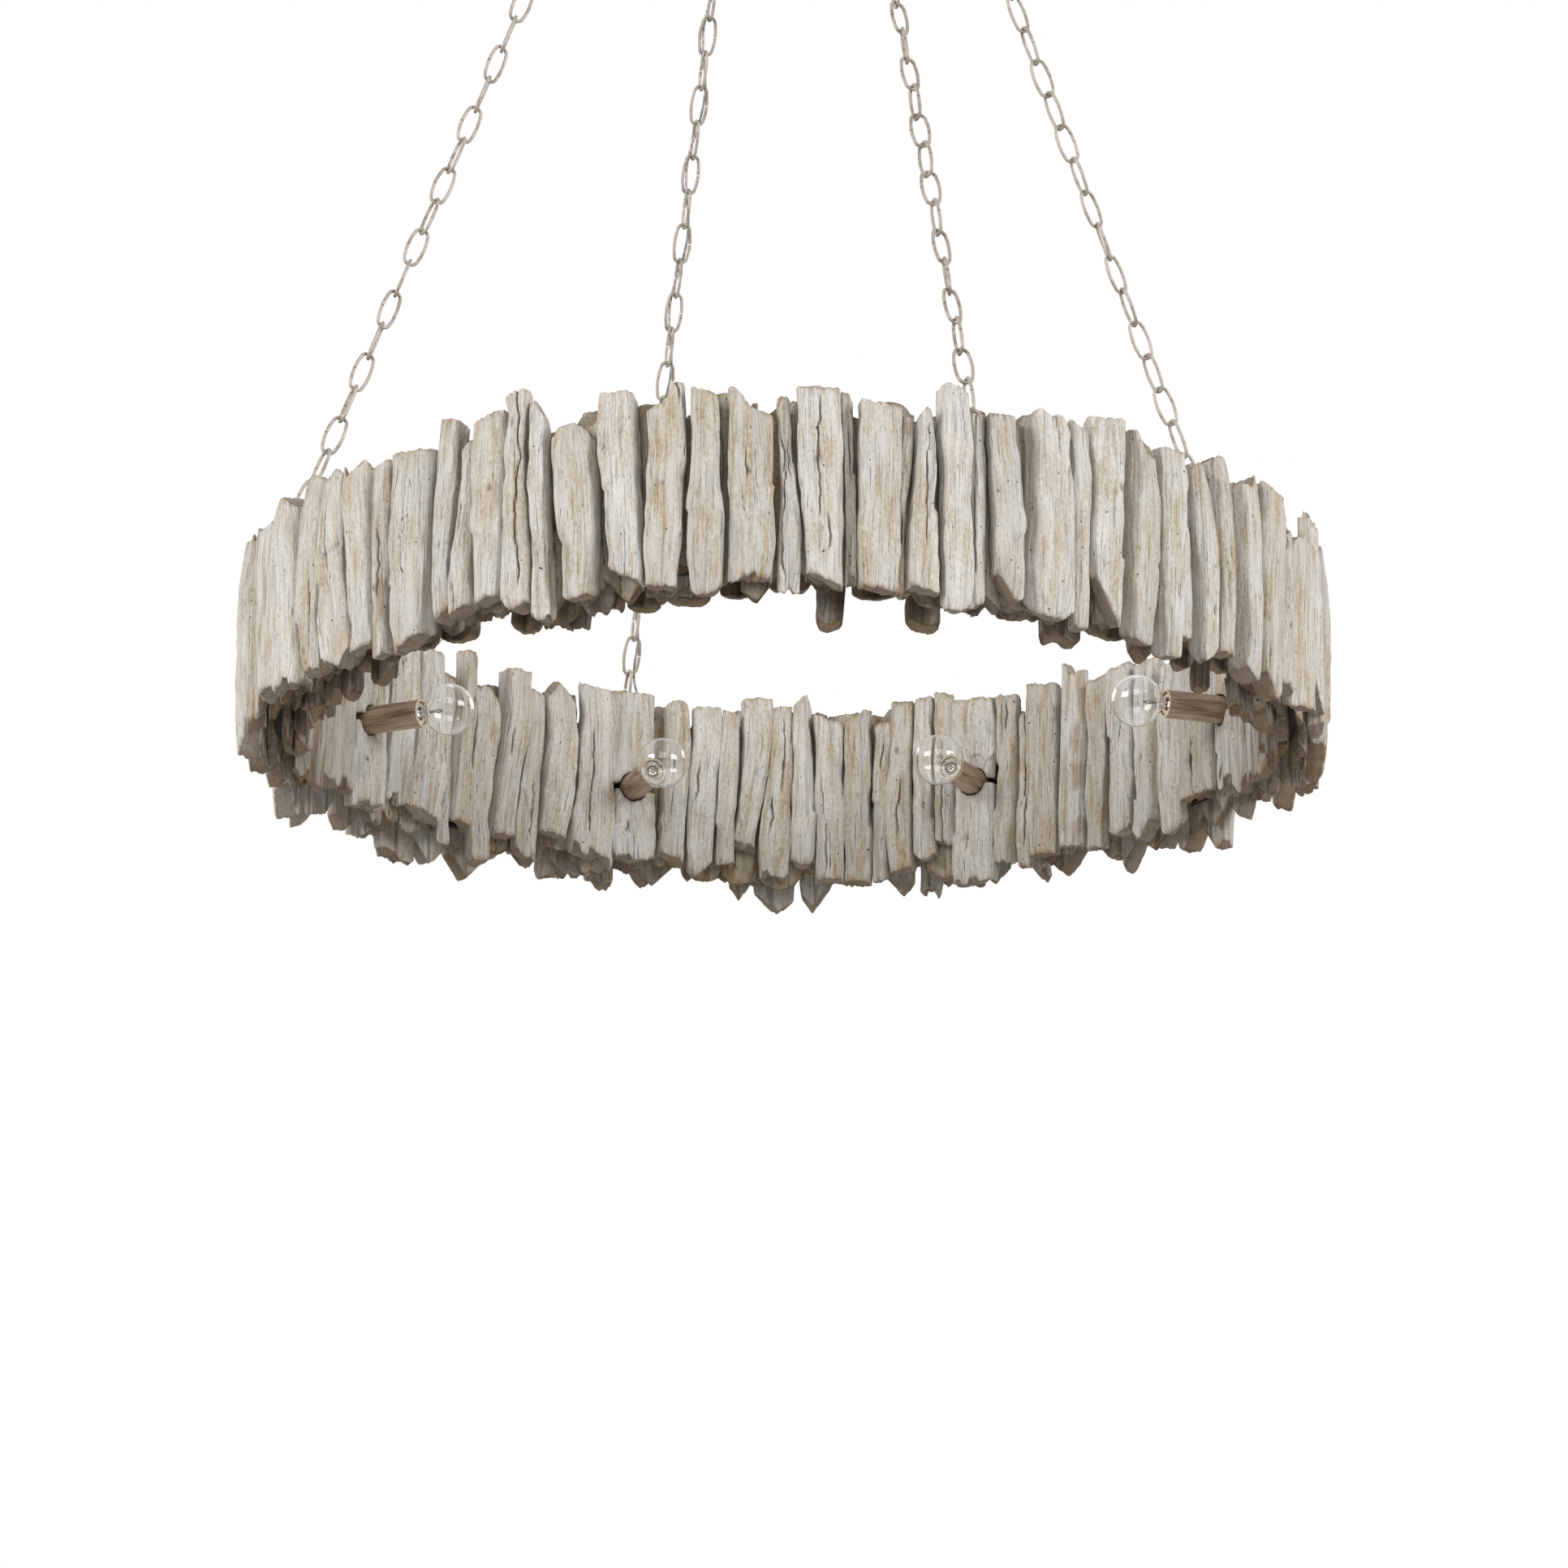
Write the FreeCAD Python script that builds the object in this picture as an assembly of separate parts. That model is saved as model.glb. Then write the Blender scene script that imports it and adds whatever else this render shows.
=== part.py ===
import FreeCAD, Part
import math
import os
import random

from FreeCAD import Placement, Rotation, Vector

# A driftwood chandelier: a ring of driftwood sticks on two steel hoops, hung by four chains from a
# ceiling canopy, with eight candle sockets that point into the ring.
# Millimetres, +Z up. The origin is on the ceiling at the canopy's centre, and -Y faces the viewer.
# A heading is an angle in degrees from +Y towards +X, clockwise as seen from above.

# Clearances
slip = 0.3            # between pieces that move against each other or are laid together
thread_slip = 0.1     # between a thread and its hole

# Ceiling canopy and what hangs it
crossbar_margin = 7.8        # from each end of the crossbar to the canopy's wall
crossbar_width = 22.0
crossbar_thickness = 2.5
box_screw_spacing = 83.0     # between the two ceiling box screws
box_screw_hole = 4.6
box_slot_length = 16.0       # from end to end of each slot
nipple_diameter = 10.0
nipple_bore = 7.2
locknut_width = 17.0         # across the flats
locknut_height = 5.0
canopy_diameter = 130.0
canopy_side = 10.0           # straight part of its wall
canopy_wall = 1.2
canopy_rounding = 22.0       # from the wall to the flat face
collar_ring_diameter = 25.0
collar_ring_height = 8.0
collar_ring_chamfer = 1.0
collar_diameter = 18.0
collar_height = 15.5
collar_floor = 4.0           # left under the threaded hole
stirrup_wire = 5.5
stirrup_width = 22.0         # between the middles of its legs
stirrup_drop = 25.0          # from the collar to the middle of the cross bar
stirrup_corner = 5.0

# Top link between the stirrup and the hub
top_link_length = 50.0
top_link_width = 24.0
top_link_wire = 4.5

# Hub that gathers the four chains
hub_eye_radius = 11.0        # to the middle of the wire
hub_eye_wire = 5.5
hub_stem_diameter = 8.0
hub_stem_length = 26.0       # from the eye's lowest wire to the boss
hub_boss_diameter = 20.0
hub_boss_height = 10.0
hub_nut_width = 14.0
hub_nut_height = 6.0
hub_radius = 38.0            # to the middle of the ring's wire
hub_wire = 6.0

# Chains
link_length = 43.0
link_width = 20.0
link_wire = 3.3
link_split = 0.9             # open joint on one long side
link_end_share = 0.82        # radius of a link's ends, as a share of half its width
links_per_chain = 35         # odd, so that both end links stand edge-on to the ring
link_twist = 16.0            # largest twist of a link out of square
chain_names = ("chain_right", "chain_front", "chain_left", "chain_back")
corded_chain = "chain_back"

# Steel hoops that carry the sticks
hoop_radius = 490.5          # to the middle of the bar
hoop_thickness = 8.0
hoop_height = 16.0
hoop_spacing = 116.0         # between the middles of the hoops
upright_width = 30.0
upright_thickness = 4.0
eye_radius = 8.5             # chain eye, to the middle of its wire
eye_wire = 4.5
eye_shank = 14.0             # from the hoop to the middle of the eye's lowest wire

# Sockets
lamp_count = 8
first_lamp_heading = -65.0
first_chain_lamp = 3         # the lamp over which the first chain is fixed
sleeve_setback = 14.5        # from the hoops to the sleeves' feet
sleeve_length = 72.0
sleeve_diameter = 28.0
sleeve_wall = 1.8
holder_recess = 2.5          # holder's face behind the sleeve's mouth
holder_inset = 5.5           # holder's foot inside the sleeve's foot
holder_chamfer = 1.0
shell_fit = 0.35             # between a bulb's base and its screw shell
shell_wall = 0.5
shell_lift = 0.6             # screw shell's foot over the centre contact
contact_diameter = 6.0
contact_thickness = 1.2
socket_nipple_diameter = 10.0
socket_nipple_bore = 7.2
socket_nipple_grip = 9.0     # length screwed into the holder
socket_nut_width = 16.0
socket_nut_height = 3.5

# Bulbs
globe_diameter = 52.0
globe_gap = 4.0              # from the sleeve's mouth to the globe
globe_flare = 24.0           # angle about the globe's middle where its neck begins
glass_wall = 0.7
neck_step = 0.55             # neck inside the base, on each side
base_diameter = 11.9
base_length = 18.0
base_depth = 4.2             # top of the base behind the sleeve's mouth
thread_pitch = 3.2
thread_depth = 0.5
tip_diameter = 5.0
tip_length = 4.6
stem_diameter = 3.4
stem_length = 19.0
filament_width = 15.0
filament_rise = 15.0
filament_wire = 0.7

# Wiring
cord_diameter = 2.6
cord_side = 4.6              # how far the cord stands off the chain's axis at each crossing
harness_gap = 0.8            # between the uprights and the harness
harness_height = 14.0        # above the ring's middle
tap_diameter = 2.0
tap_bend = 3.2
splice_diameter = 6.5
splice_length = 17.0
cord_room = 0.9              # around the cord in the collar and the upper hoop
cord_hole_margin = 10.0      # from an upright's edge to the cord's hole in the upper hoop

# Driftwood rows
outer_depth = 26.0
inner_depth = 20.0
backing_depth = 10.5
row_gap = 0.5                # between rows, and between the backing and the hoops
stick_gap = 1.0              # between neighbours in a row
column_margin = 9.0          # from a sleeve to the sticks at its sides
socket_margin = 3.5          # from a sleeve to the short sticks over and under it
edge_tilt = 0.035            # largest slope of the edge between two sticks
chain_column_rise = 7.0      # short sticks in front of a chain eye, over the eye
chain_backing_rise = 5.0     # backing at a chain eye, over the hoop
brad_diameter = 1.6
brad_sink = 1.0              # brad's head under the stick's face
brad_margin = 8.0            # least wood over and under a brad

# Outer sticks that face the viewer, from the left. Arc lengths from the front: the left and right edges at
# the upper hoop, then at the lower hoop. Reach over the upper hoop's middle at the left and right, then under
# the lower hoop's middle. Last, the depth as a share of the row's depth
viewer_sticks = (
    (-645, -596, -643, -594, 27, 27, 30, 25, 0.9), (-593, -539, -591, -526, 30, 39, 38, 43, 1),
    (-525, -489, -524, -488, 36, 35, 40, 44, 0.95), (-486, -457, -486, -441, 35, 29, 56, 38, 1),
    (-454, -419, -440, -412, 28, 33, 41, 32, 0.9), (-417, -388, -409, -391, 19, 24, 51, 48, 0.85),
    (-383, -333, -385, -340, 24, 20, 53, 42, 1), (-326, -303, -329, -316, 47, 37, 33, 29, 1),
    (-302, -294, -315, -291, 19, 19, 32, 23, 0.8), (-293, -256, -290, -261, 40, 42, 27, 21, 1),
    (-255, -237, -260, -230, 53, 56, 32, 37, 0.95), (-236, -217, -229, -209, 47, 39, 47, 50, 0.9),
    (-212, -168, -199, -168, 20, 11, 33, 33, 1), (-167, -133, -160, -125, 42, 40, 7, 26, 1),
    (-122, -89, -123, -95, 38, 48, 28, 30, 0.95), (-82, -58, -88, -54, 41, 34, 37, 38, 1),
    (-53, -8, -52, -9, 41, 25, 30, 24, 1), (-7, 5, -8, 13, 34, 35, 34, 35, 0.35),
    (6, 47, 14, 50, 44, 41, 17, 33, 1), (48, 60, 52, 61, 41, 34, 28, 28, 0.4),
    (61, 104, 62, 98, 34, 21, 34, 34, 0.95), (105, 116, 99, 104, 18, 18, 36, 36, 0.35),
    (117, 134, 105, 135, 24, 28, 30, 32, 1), (137, 164, 136, 162, 49, 43, 48, 48, 1),
    (165, 181, 164, 181, 27, 27, 42, 34, 0.7), (182, 206, 184, 215, 26, 29, 29, 35, 1),
    (221, 259, 217, 262, 39, 28, 42, 44, 1), (261, 279, 264, 279, 34, 24, 47, 48, 0.8),
    (281, 325, 281, 314, 42, 43, 23, 44, 1), (328, 360, 319, 356, 37, 27, 48, 50, 1),
    (361, 392, 359, 383, 28, 28, 57, 55, 0.95), (393, 400, 384, 405, 19, 16, 34, 32, 0.7),
    (402, 430, 407, 430, 27, 15, 48, 53, 1), (432, 459, 436, 459, 37, 35, 37, 36, 0.9),
    (461, 508, 471, 503, 31, 35, 46, 51, 1), (516, 556, 504, 547, 35, 34, 54, 59, 0.95),
    (562, 596, 549, 581, 7, 10, 33, 43, 0.85), (598, 651, 583, 637, 12, 11, 47, 44, 0.9),
)

# The same for the inner sticks of the three bays that face the viewer. Arc lengths are from a bay's left side
bay_length = 327.0           # of the bay that these arc lengths fill
viewer_bays = {
    0: (
        (2, 25, 1, 20, 34, 34, 28, 22, 0.8), (27, 49, 22, 40, 28, 26, 14, 8, 0.9),
        (51, 76, 42, 57, 42, 42, 13, 10, 0.7), (77, 104, 58, 105, 50, 49, 10, 26, 1),
        (105, 129, 106, 123, 26, 30, 35, 39, 0.7), (138, 159, 124, 152, 57, 57, 12, 12, 1),
        (162, 190, 153, 176, 27, 22, 52, 49, 0.7), (195, 226, 180, 206, 47, 51, 16, 17, 1),
        (229, 244, 208, 235, 35, 28, 30, 34, 0.85), (248, 283, 242, 272, 44, 50, 5, 7, 1),
        (287, 325, 277, 325, 52, 42, 18, 31, 0.95),
    ),
    1: (
        (13, 37, 5, 32, 37, 39, 10, 24, 0.9), (43, 72, 37, 65, 32, 37, 31, 35, 1),
        (75, 93, 67, 86, 32, 28, 20, 18, 0.8), (97, 129, 87, 111, 46, 47, -1, 5, 1),
        (130, 149, 114, 145, 36, 38, 31, 33, 0.85), (150, 171, 148, 173, 52, 49, 18, 19, 1),
        (172, 204, 175, 205, 29, 19, 37, 38, 0.9), (206, 236, 206, 233, 22, 34, 38, 39, 0.95),
        (238, 256, 235, 251, 18, 21, 39, 37, 0.8), (257, 280, 252, 278, 40, 39, 32, 28, 1),
        (283, 304, 280, 303, 41, 42, 16, 19, 0.95), (306, 325, 305, 325, 44, 42, 2, 6, 0.9),
    ),
    2: (
        (2, 27, 2, 21, 32, 32, 32, 32, 1), (29, 40, 23, 41, 9, 12, 36, 39, 0.7),
        (42, 77, 44, 75, 37, 38, 31, 31, 1), (80, 113, 77, 109, 55, 56, 26, 30, 1),
        (116, 143, 114, 137, 25, 34, 34, 37, 0.85), (147, 178, 143, 178, 35, 37, 26, 25, 1),
        (183, 222, 186, 215, 31, 33, 38, 45, 0.95), (230, 265, 225, 257, 19, 19, 43, 39, 0.95),
        (268, 301, 261, 299, 10, 8, 16, 13, 0.8), (303, 325, 301, 325, 14, 12, 12, 17, 0.9),
    ),
}

# Sizes drawn for the sticks that face away, and for the backing
hidden_widths = (24.0, 56.0)
hidden_above = (22.0, 54.0)      # over the upper hoop's middle
hidden_below = (20.0, 56.0)      # under the lower hoop's middle
hidden_slant = 0.16              # largest slope of an end
hidden_depths = (0.7, 1.0)       # share of the row's depth
backing_widths = (28.0, 44.0)
backing_above = (16.0, 42.0)
backing_below = (10.0, 40.0)
shuffle_seed = 1932

# Outline of a stick's section: share of half the width, share of the depth from its back
section_outline = (
    (-0.78, 0.0), (0.78, 0.0), (1.0, 0.36), (0.72, 0.86), (0.04, 1.0), (-0.66, 0.9), (-1.0, 0.4),
)
# Sections of a stick: share of its height, share of its width, share of its depth
section_shares = (
    (0.0, 0.78, 0.7), (0.045, 0.97, 0.93), (0.27, 1.0, 1.0), (0.5, 0.98, 0.96), (0.73, 1.0, 1.0),
    (0.955, 0.96, 0.92), (1.0, 0.74, 0.66),
)
section_waver = 0.06         # largest loss of width at a section
section_roughness = 0.1      # largest loss of depth at a point of the outline
nailed_depth = 0.9           # least depth at a brad, as a share of the stick's

# Places worked out from the sizes, from the ceiling down
up = Vector(0, 0, 1)
canopy_height = canopy_side + canopy_rounding
crossbar_length = canopy_diameter - 2 * (canopy_wall + crossbar_margin)
cord_hole = cord_diameter + 2 * cord_room
stirrup_bar_z = -canopy_height - collar_ring_height - collar_height - stirrup_drop - 2 * slip
collar_top_z = -canopy_height - collar_ring_height - 2 * slip
collar_bottom_z = collar_top_z - collar_height
top_link_inner = top_link_length - 2 * top_link_wire
top_link_z = stirrup_bar_z + stirrup_wire / 2 + slip - top_link_inner / 2
link_wire_z = top_link_z - (top_link_inner + top_link_wire) / 2
hub_eye_z = link_wire_z + (top_link_wire + hub_eye_wire) / 2 + slip - hub_eye_radius
boss_top_z = hub_eye_z - hub_eye_radius - hub_stem_length
hub_z = boss_top_z - hub_boss_height / 2
link_inner = link_length - 2 * link_wire
link_pitch = link_inner - slip
first_link_at = link_inner / 2 - hub_wire / 2 - slip
chain_reach = link_inner - (hub_wire + eye_wire) / 2 - 2 * slip + (links_per_chain - 1) * link_pitch
chain_rise = math.sqrt(chain_reach ** 2 - (hoop_radius - hub_radius) ** 2)
eye_top_z = hub_z - chain_rise
hoop_middle = hoop_spacing / 2
hoop_top = hoop_middle + hoop_height / 2
eye_rise = hoop_top + eye_shank + 2 * eye_radius
ring_z = eye_top_z - eye_rise
chain_column_top = eye_rise + chain_column_rise
chain_backing_top = hoop_top + chain_backing_rise

# Radii of the rows and the sockets
hoop_inner = hoop_radius - hoop_thickness / 2
hoop_outer = hoop_radius + hoop_thickness / 2
inner_backing = hoop_inner - row_gap
inner_front = inner_backing - backing_depth - row_gap
outer_backing = hoop_outer + row_gap
outer_front = outer_backing + backing_depth + row_gap
lamp_step = 360.0 / lamp_count
column_half = sleeve_diameter / 2 + column_margin
socket_half = sleeve_diameter / 2 + socket_margin
mouth_radius = hoop_inner - sleeve_setback - sleeve_length
holder_length = sleeve_length - holder_recess - holder_inset
contact_z = -base_depth - base_length - tip_length - slip
shell_diameter = base_diameter + 2 * (shell_fit + shell_wall)
neck_diameter = base_diameter - 2 * neck_step
globe_centre = globe_diameter / 2 + globe_gap
harness_radius = hoop_inner + upright_thickness + harness_gap + cord_diameter / 2
cord_hole_offset = upright_width / 2 + cord_hole_margin
chain_step = lamp_count // len(chain_names)
chain_lamps = [(first_chain_lamp + chain_step * k) % lamp_count for k in range(len(chain_names))]
corded_lamp = chain_lamps[chain_names.index(corded_chain)]

nodes = {}


def add(name, shape):
    nodes.setdefault(name, []).append(shape)


def polar(radius, heading, z):
    a = math.radians(heading)
    return Vector(radius * math.sin(a), radius * math.cos(a), z)


def tangent(heading):
    a = math.radians(heading)
    return Vector(math.cos(a), -math.sin(a), 0)


def lamp_heading(k):
    return first_lamp_heading + k * lamp_step


def rod(start, end, diameter):
    span = end - start
    return Part.makeCylinder(diameter / 2, span.Length, start, span)


def pipe(outer, bore, z0, z1):
    tube = Part.makeCylinder(outer / 2, z1 - z0, Vector(0, 0, z0))
    return tube.cut(Part.makeCylinder(bore / 2, z1 - z0, Vector(0, 0, z0)))


def hex_nut(width, bore, z0, z1):
    corner = width / math.sqrt(3)
    angles = [k * math.pi / 3 for k in range(7)]
    points = [Vector(corner * math.cos(a), corner * math.sin(a), z0) for a in angles]
    body = Part.Face(Part.makePolygon(points)).extrude(Vector(0, 0, z1 - z0))
    return body.cut(Part.makeCylinder(bore / 2, z1 - z0, Vector(0, 0, z0)))


def turned(points):
    # Solid of revolution about Z of a closed outline of (radius, z) points and arc middles marked by "arc"
    edges = []
    here = Vector(points[0][0], 0, points[0][1])
    k = 1
    while k < len(points):
        if points[k][0] == "arc":
            middle = Vector(points[k][1], 0, points[k][2])
            there = Vector(points[k + 1][0], 0, points[k + 1][1])
            edges.append(Part.Arc(here, middle, there).toShape())
            k += 2
        else:
            there = Vector(points[k][0], 0, points[k][1])
            edges.append(Part.LineSegment(here, there).toShape())
            k += 1
        here = there
    start = Vector(points[0][0], 0, points[0][1])
    if (here - start).Length > 1e-6:
        edges.append(Part.LineSegment(here, start).toShape())
    return Part.Face(Part.Wire(edges)).revolve(Vector(), up, 360)


def swept(edges, diameter):
    path = Part.Wire(edges)
    start = edges[0].valueAt(edges[0].FirstParameter)
    way = edges[0].tangentAt(edges[0].FirstParameter)
    section = Part.Wire(Part.makeCircle(diameter / 2, start, way))
    return path.makePipeShell([section], True, True)


def cord(points, diameter, label):
    # Straight runs joined by tangent arcs, each arc as large as its two runs allow
    edges = []
    radii = []
    here = points[0]
    for before, at, after in zip(points, points[1:], points[2:]):
        way_in = (at - before).normalize()
        way_out = (after - at).normalize()
        turn = way_in.getAngle(way_out)
        cut = 0.45 * min((at - before).Length, (after - at).Length)
        radius = cut / math.tan(turn / 2)
        side = (way_out - way_in).normalize()
        middle = at + side * (radius / math.cos(turn / 2) - radius)
        edges.append(Part.LineSegment(here, at - way_in * cut).toShape())
        edges.append(Part.Arc(at - way_in * cut, middle, at + way_out * cut).toShape())
        here = at + way_out * cut
        radii.append(radius)
    edges.append(Part.LineSegment(here, points[-1]).toShape())
    length = sum(e.Length for e in edges)
    solid = swept(edges, diameter)
    share = solid.Volume / (math.pi * diameter ** 2 / 4 * length)
    least = min(radii) if radii else 0.0
    print(f"{label}: length {length:.0f}, least radius {least:.1f}, volume over swept volume {share:.4f}")
    return solid


def oval_link(length, width, wire, split):
    # Open link along Z in the XZ plane, with bowed sides, split in the middle of its +X side
    a = (width - wire) / 2
    b = (length - wire) / 2
    end = link_end_share * a
    side = (a ** 2 + (b - end) ** 2 - end ** 2) / (2 * (a - end))
    slope = math.atan2(b - end, side - a)
    x = a - side + side * math.cos(slope)
    z = side * math.sin(slope)
    gap = math.asin(split / 2 / side)

    def on_side(angle, sign):
        return Vector(sign * (a - side + side * math.cos(angle)), 0, side * math.sin(angle))

    half = (slope + gap) / 2
    corners = [Vector(x, 0, z), Vector(-x, 0, z), Vector(-x, 0, -z), Vector(x, 0, -z)]
    edges = [
        Part.Arc(on_side(gap, 1), on_side(half, 1), corners[0]).toShape(),
        Part.Arc(corners[0], Vector(0, 0, b), corners[1]).toShape(),
        Part.Arc(corners[1], Vector(-a, 0, 0), corners[2]).toShape(),
        Part.Arc(corners[2], Vector(0, 0, -b), corners[3]).toShape(),
        Part.Arc(corners[3], on_side(-half, 1), on_side(-gap, 1)).toShape(),
    ]
    return swept(edges, wire)


# Canopy, crossbar, nipple, locknut and collar
def make_ceiling_parts():
    half_slot = (box_slot_length - box_screw_hole) / 2
    low = Vector(-crossbar_length / 2, -crossbar_width / 2, -crossbar_thickness)
    bar = Part.makeBox(crossbar_length, crossbar_width, crossbar_thickness, low)
    bar = bar.cut(rod(Vector(0, 0, -crossbar_thickness), Vector(), nipple_diameter + 2 * thread_slip))
    for side in (-1, 1):
        middle = Vector(side * box_screw_spacing / 2, 0, -crossbar_thickness)
        for shift in (-half_slot, half_slot):
            end = middle + Vector(shift, 0, 0)
            bar = bar.cut(rod(end, end + up * crossbar_thickness, box_screw_hole))
        corner = middle - Vector(half_slot, box_screw_hole / 2, 0)
        bar = bar.cut(Part.makeBox(2 * half_slot, box_screw_hole, crossbar_thickness, corner))
    add("mounting_crossbar", bar)

    nut_top = -crossbar_thickness - slip
    bore = nipple_diameter + 2 * thread_slip
    add("canopy_locknut", hex_nut(locknut_width, bore, nut_top - locknut_height, nut_top))
    nipple_foot = collar_bottom_z + collar_floor + slip
    add("crossbar_nipple", pipe(nipple_diameter, nipple_bore, nipple_foot, 0))

    r, h, w, c = canopy_diameter / 2, canopy_height, canopy_wall, canopy_rounding
    s = math.sqrt(0.5)
    hole = nipple_diameter / 2 + slip
    add("ceiling_canopy", turned([
        (r, 0), (r, c - h), ("arc", r - c + c * s, c - h - c * s), (r - c, -h), (hole, -h), (hole, w - h),
        (r - c, w - h), ("arc", r - c + (c - w) * s, c - h - (c - w) * s), (r - w, c - h), (r - w, 0),
    ]))

    ring = pipe(collar_ring_diameter, bore, -canopy_height - slip - collar_ring_height, -canopy_height - slip)
    rims = [e for e in ring.Edges if abs(e.Length - math.pi * collar_ring_diameter) < 0.01]
    add("collar_ring", ring.makeChamfer(collar_ring_chamfer, rims))

    collar = Part.makeCylinder(collar_diameter / 2, collar_height, Vector(0, 0, collar_bottom_z))
    x = stirrup_width / 2
    z = stirrup_bar_z
    c = stirrup_corner
    shoulder = collar_bottom_z + stirrup_wire / 2
    inset = collar_diameter / 2 - stirrup_wire / 2
    knee = collar_bottom_z - stirrup_wire
    for side in (-1, 1):
        collar = collar.fuse(rod(Vector(side * inset, 0, shoulder), Vector(side * x, 0, knee), stirrup_wire))
        collar = collar.fuse(Part.makeSphere(stirrup_wire / 2, Vector(side * x, 0, knee)))
    low = z + c
    turn = c - c * s
    bow = [
        Part.LineSegment(Vector(-x, 0, knee), Vector(-x, 0, low)),
        Part.Arc(Vector(-x, 0, low), Vector(turn - x, 0, z + turn), Vector(c - x, 0, z)),
        Part.LineSegment(Vector(c - x, 0, z), Vector(x - c, 0, z)),
        Part.Arc(Vector(x - c, 0, z), Vector(x - turn, 0, z + turn), Vector(x, 0, low)),
        Part.LineSegment(Vector(x, 0, low), Vector(x, 0, knee)),
    ]
    collar = collar.fuse(swept([piece.toShape() for piece in bow], stirrup_wire))
    collar = collar.cut(rod(up * (collar_bottom_z + collar_floor), up * collar_top_z, bore))
    collar = collar.cut(rod(up * (collar_bottom_z - stirrup_wire), up * collar_top_z, cord_hole))
    add("collar_loop", collar.removeSplitter())


# Top link, hub eye, hub ring and hub nut
def make_hub():
    link = oval_link(top_link_length, top_link_width, top_link_wire, link_split)
    link.Placement = Placement(Vector(0, 0, top_link_z), Rotation(up, 90))
    add("top_link", link)

    eye = Part.makeTorus(hub_eye_radius, hub_eye_wire / 2, Vector(0, 0, hub_eye_z), Vector(0, 1, 0))
    boss_foot = boss_top_z - hub_boss_height
    stem_foot = boss_foot - slip - hub_nut_height
    stem = rod(Vector(0, 0, stem_foot), Vector(0, 0, hub_eye_z - hub_eye_radius), hub_stem_diameter)
    collar_foot = boss_top_z + slip
    collar = rod(up * collar_foot, up * (collar_foot + hub_nut_height), hub_nut_width)
    add("hub_eye", eye.fuse([stem, collar]).removeSplitter())
    bore = hub_stem_diameter + 2 * thread_slip
    add("hub_nut", hex_nut(hub_nut_width, bore, stem_foot, stem_foot + hub_nut_height))

    ring = Part.makeTorus(hub_radius, hub_wire / 2, Vector(0, 0, hub_z))
    boss = Part.makeCylinder(hub_boss_diameter / 2, hub_boss_height, Vector(0, 0, boss_foot))
    for turn in (0, 90):
        heading = lamp_heading(chain_lamps[0]) + lamp_step + turn
        ends = [polar(hub_radius, heading + half_turn, hub_z) for half_turn in (0, 180)]
        boss = boss.fuse(rod(*ends, hub_wire))
    ring = ring.fuse(boss).cut(rod(Vector(0, 0, boss_foot), Vector(0, 0, boss_top_z), bore))
    add("hub_ring", ring.removeSplitter())


# A chain's line: the hub's wire, the way down, and the two directions across it
def chain_line(heading):
    top = polar(hub_radius, heading, hub_z)
    way = (polar(hoop_radius, heading, eye_top_z) - top).normalize()
    across = tangent(heading)
    return top, way, across.cross(way), across


def make_chains():
    link = oval_link(link_length, link_width, link_wire, link_split)
    for name, lamp in zip(chain_names, chain_lamps):
        top, way, in_plane, across = chain_line(lamp_heading(lamp))
        for i in range(links_per_chain):
            middle = top + way * (first_link_at + i * link_pitch)
            twist = 90.0 * i
            if name != corded_chain and 0 < i < links_per_chain - 1:
                twist += link_twist * math.sin(2.4 * i + lamp)
            turn = Rotation(in_plane, Vector(), way, "ZXY")
            spin = Rotation(up, twist + 180 * (i // 2 % 2))
            copy = link.copy()
            copy.Placement = Placement(middle, turn.multiply(spin))
            add(name, copy)


# Supply cord: down through the collar, past the top link and woven through one chain to the ring
def make_supply_cord():
    heading = lamp_heading(corded_lamp)
    top, way, in_plane, across = chain_line(heading)
    beside = Vector(-5.6, 5.2, 0)
    add("supply_cord_entry", rod(Vector(0, 0, collar_bottom_z), Vector(0, 0, -slip), cord_diameter))
    joint = beside + up * top_link_z
    add("cord_flex_upper", cord([
        up * collar_bottom_z, up * (collar_bottom_z - 5), Vector(-3.6, 3.4, collar_bottom_z - 14),
        beside + up * (collar_bottom_z - 26), joint,
    ], cord_diameter, "cord_flex_upper"))
    bend = joint - up * 16
    below = beside + Vector(0.3, 1.1, hub_eye_z - hub_eye_radius)
    add("cord_flex_lower", cord([joint, bend, below], cord_diameter, "cord_flex_lower"))

    onward = below + (below - bend).normalize() * 9
    points = [below, onward, polar(14.5, heading + 10, boss_top_z + 8), polar(20, heading + 13, hub_z - 9)]
    corners = [(-1, 1), (1, 1), (1, -1), (-1, -1)]
    for i in range(links_per_chain - 1):
        crossing = top + way * (first_link_at + (i + 0.5) * link_pitch)
        u, v = corners[i % 4]
        points.append(crossing + in_plane * (u * cord_side) + across * (v * cord_side))
    hole = heading + math.degrees(cord_hole_offset / hoop_radius)
    foot = polar(hoop_radius, hole, ring_z + harness_height + cord_diameter / 2 + slip)
    points += [
        polar(hoop_radius - 3, heading + math.degrees(11 / hoop_radius), eye_top_z + 12),
        polar(hoop_radius - 0.5, heading + math.degrees(21 / hoop_radius), eye_top_z - 8),
        polar(hoop_radius, hole, ring_z + hoop_top + 4),
        foot + up * splice_length,
    ]
    add("supply_cord", cord(points, cord_diameter, "supply_cord"))
    add("ring_splice", rod(foot, foot + up * splice_length, splice_diameter))


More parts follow.
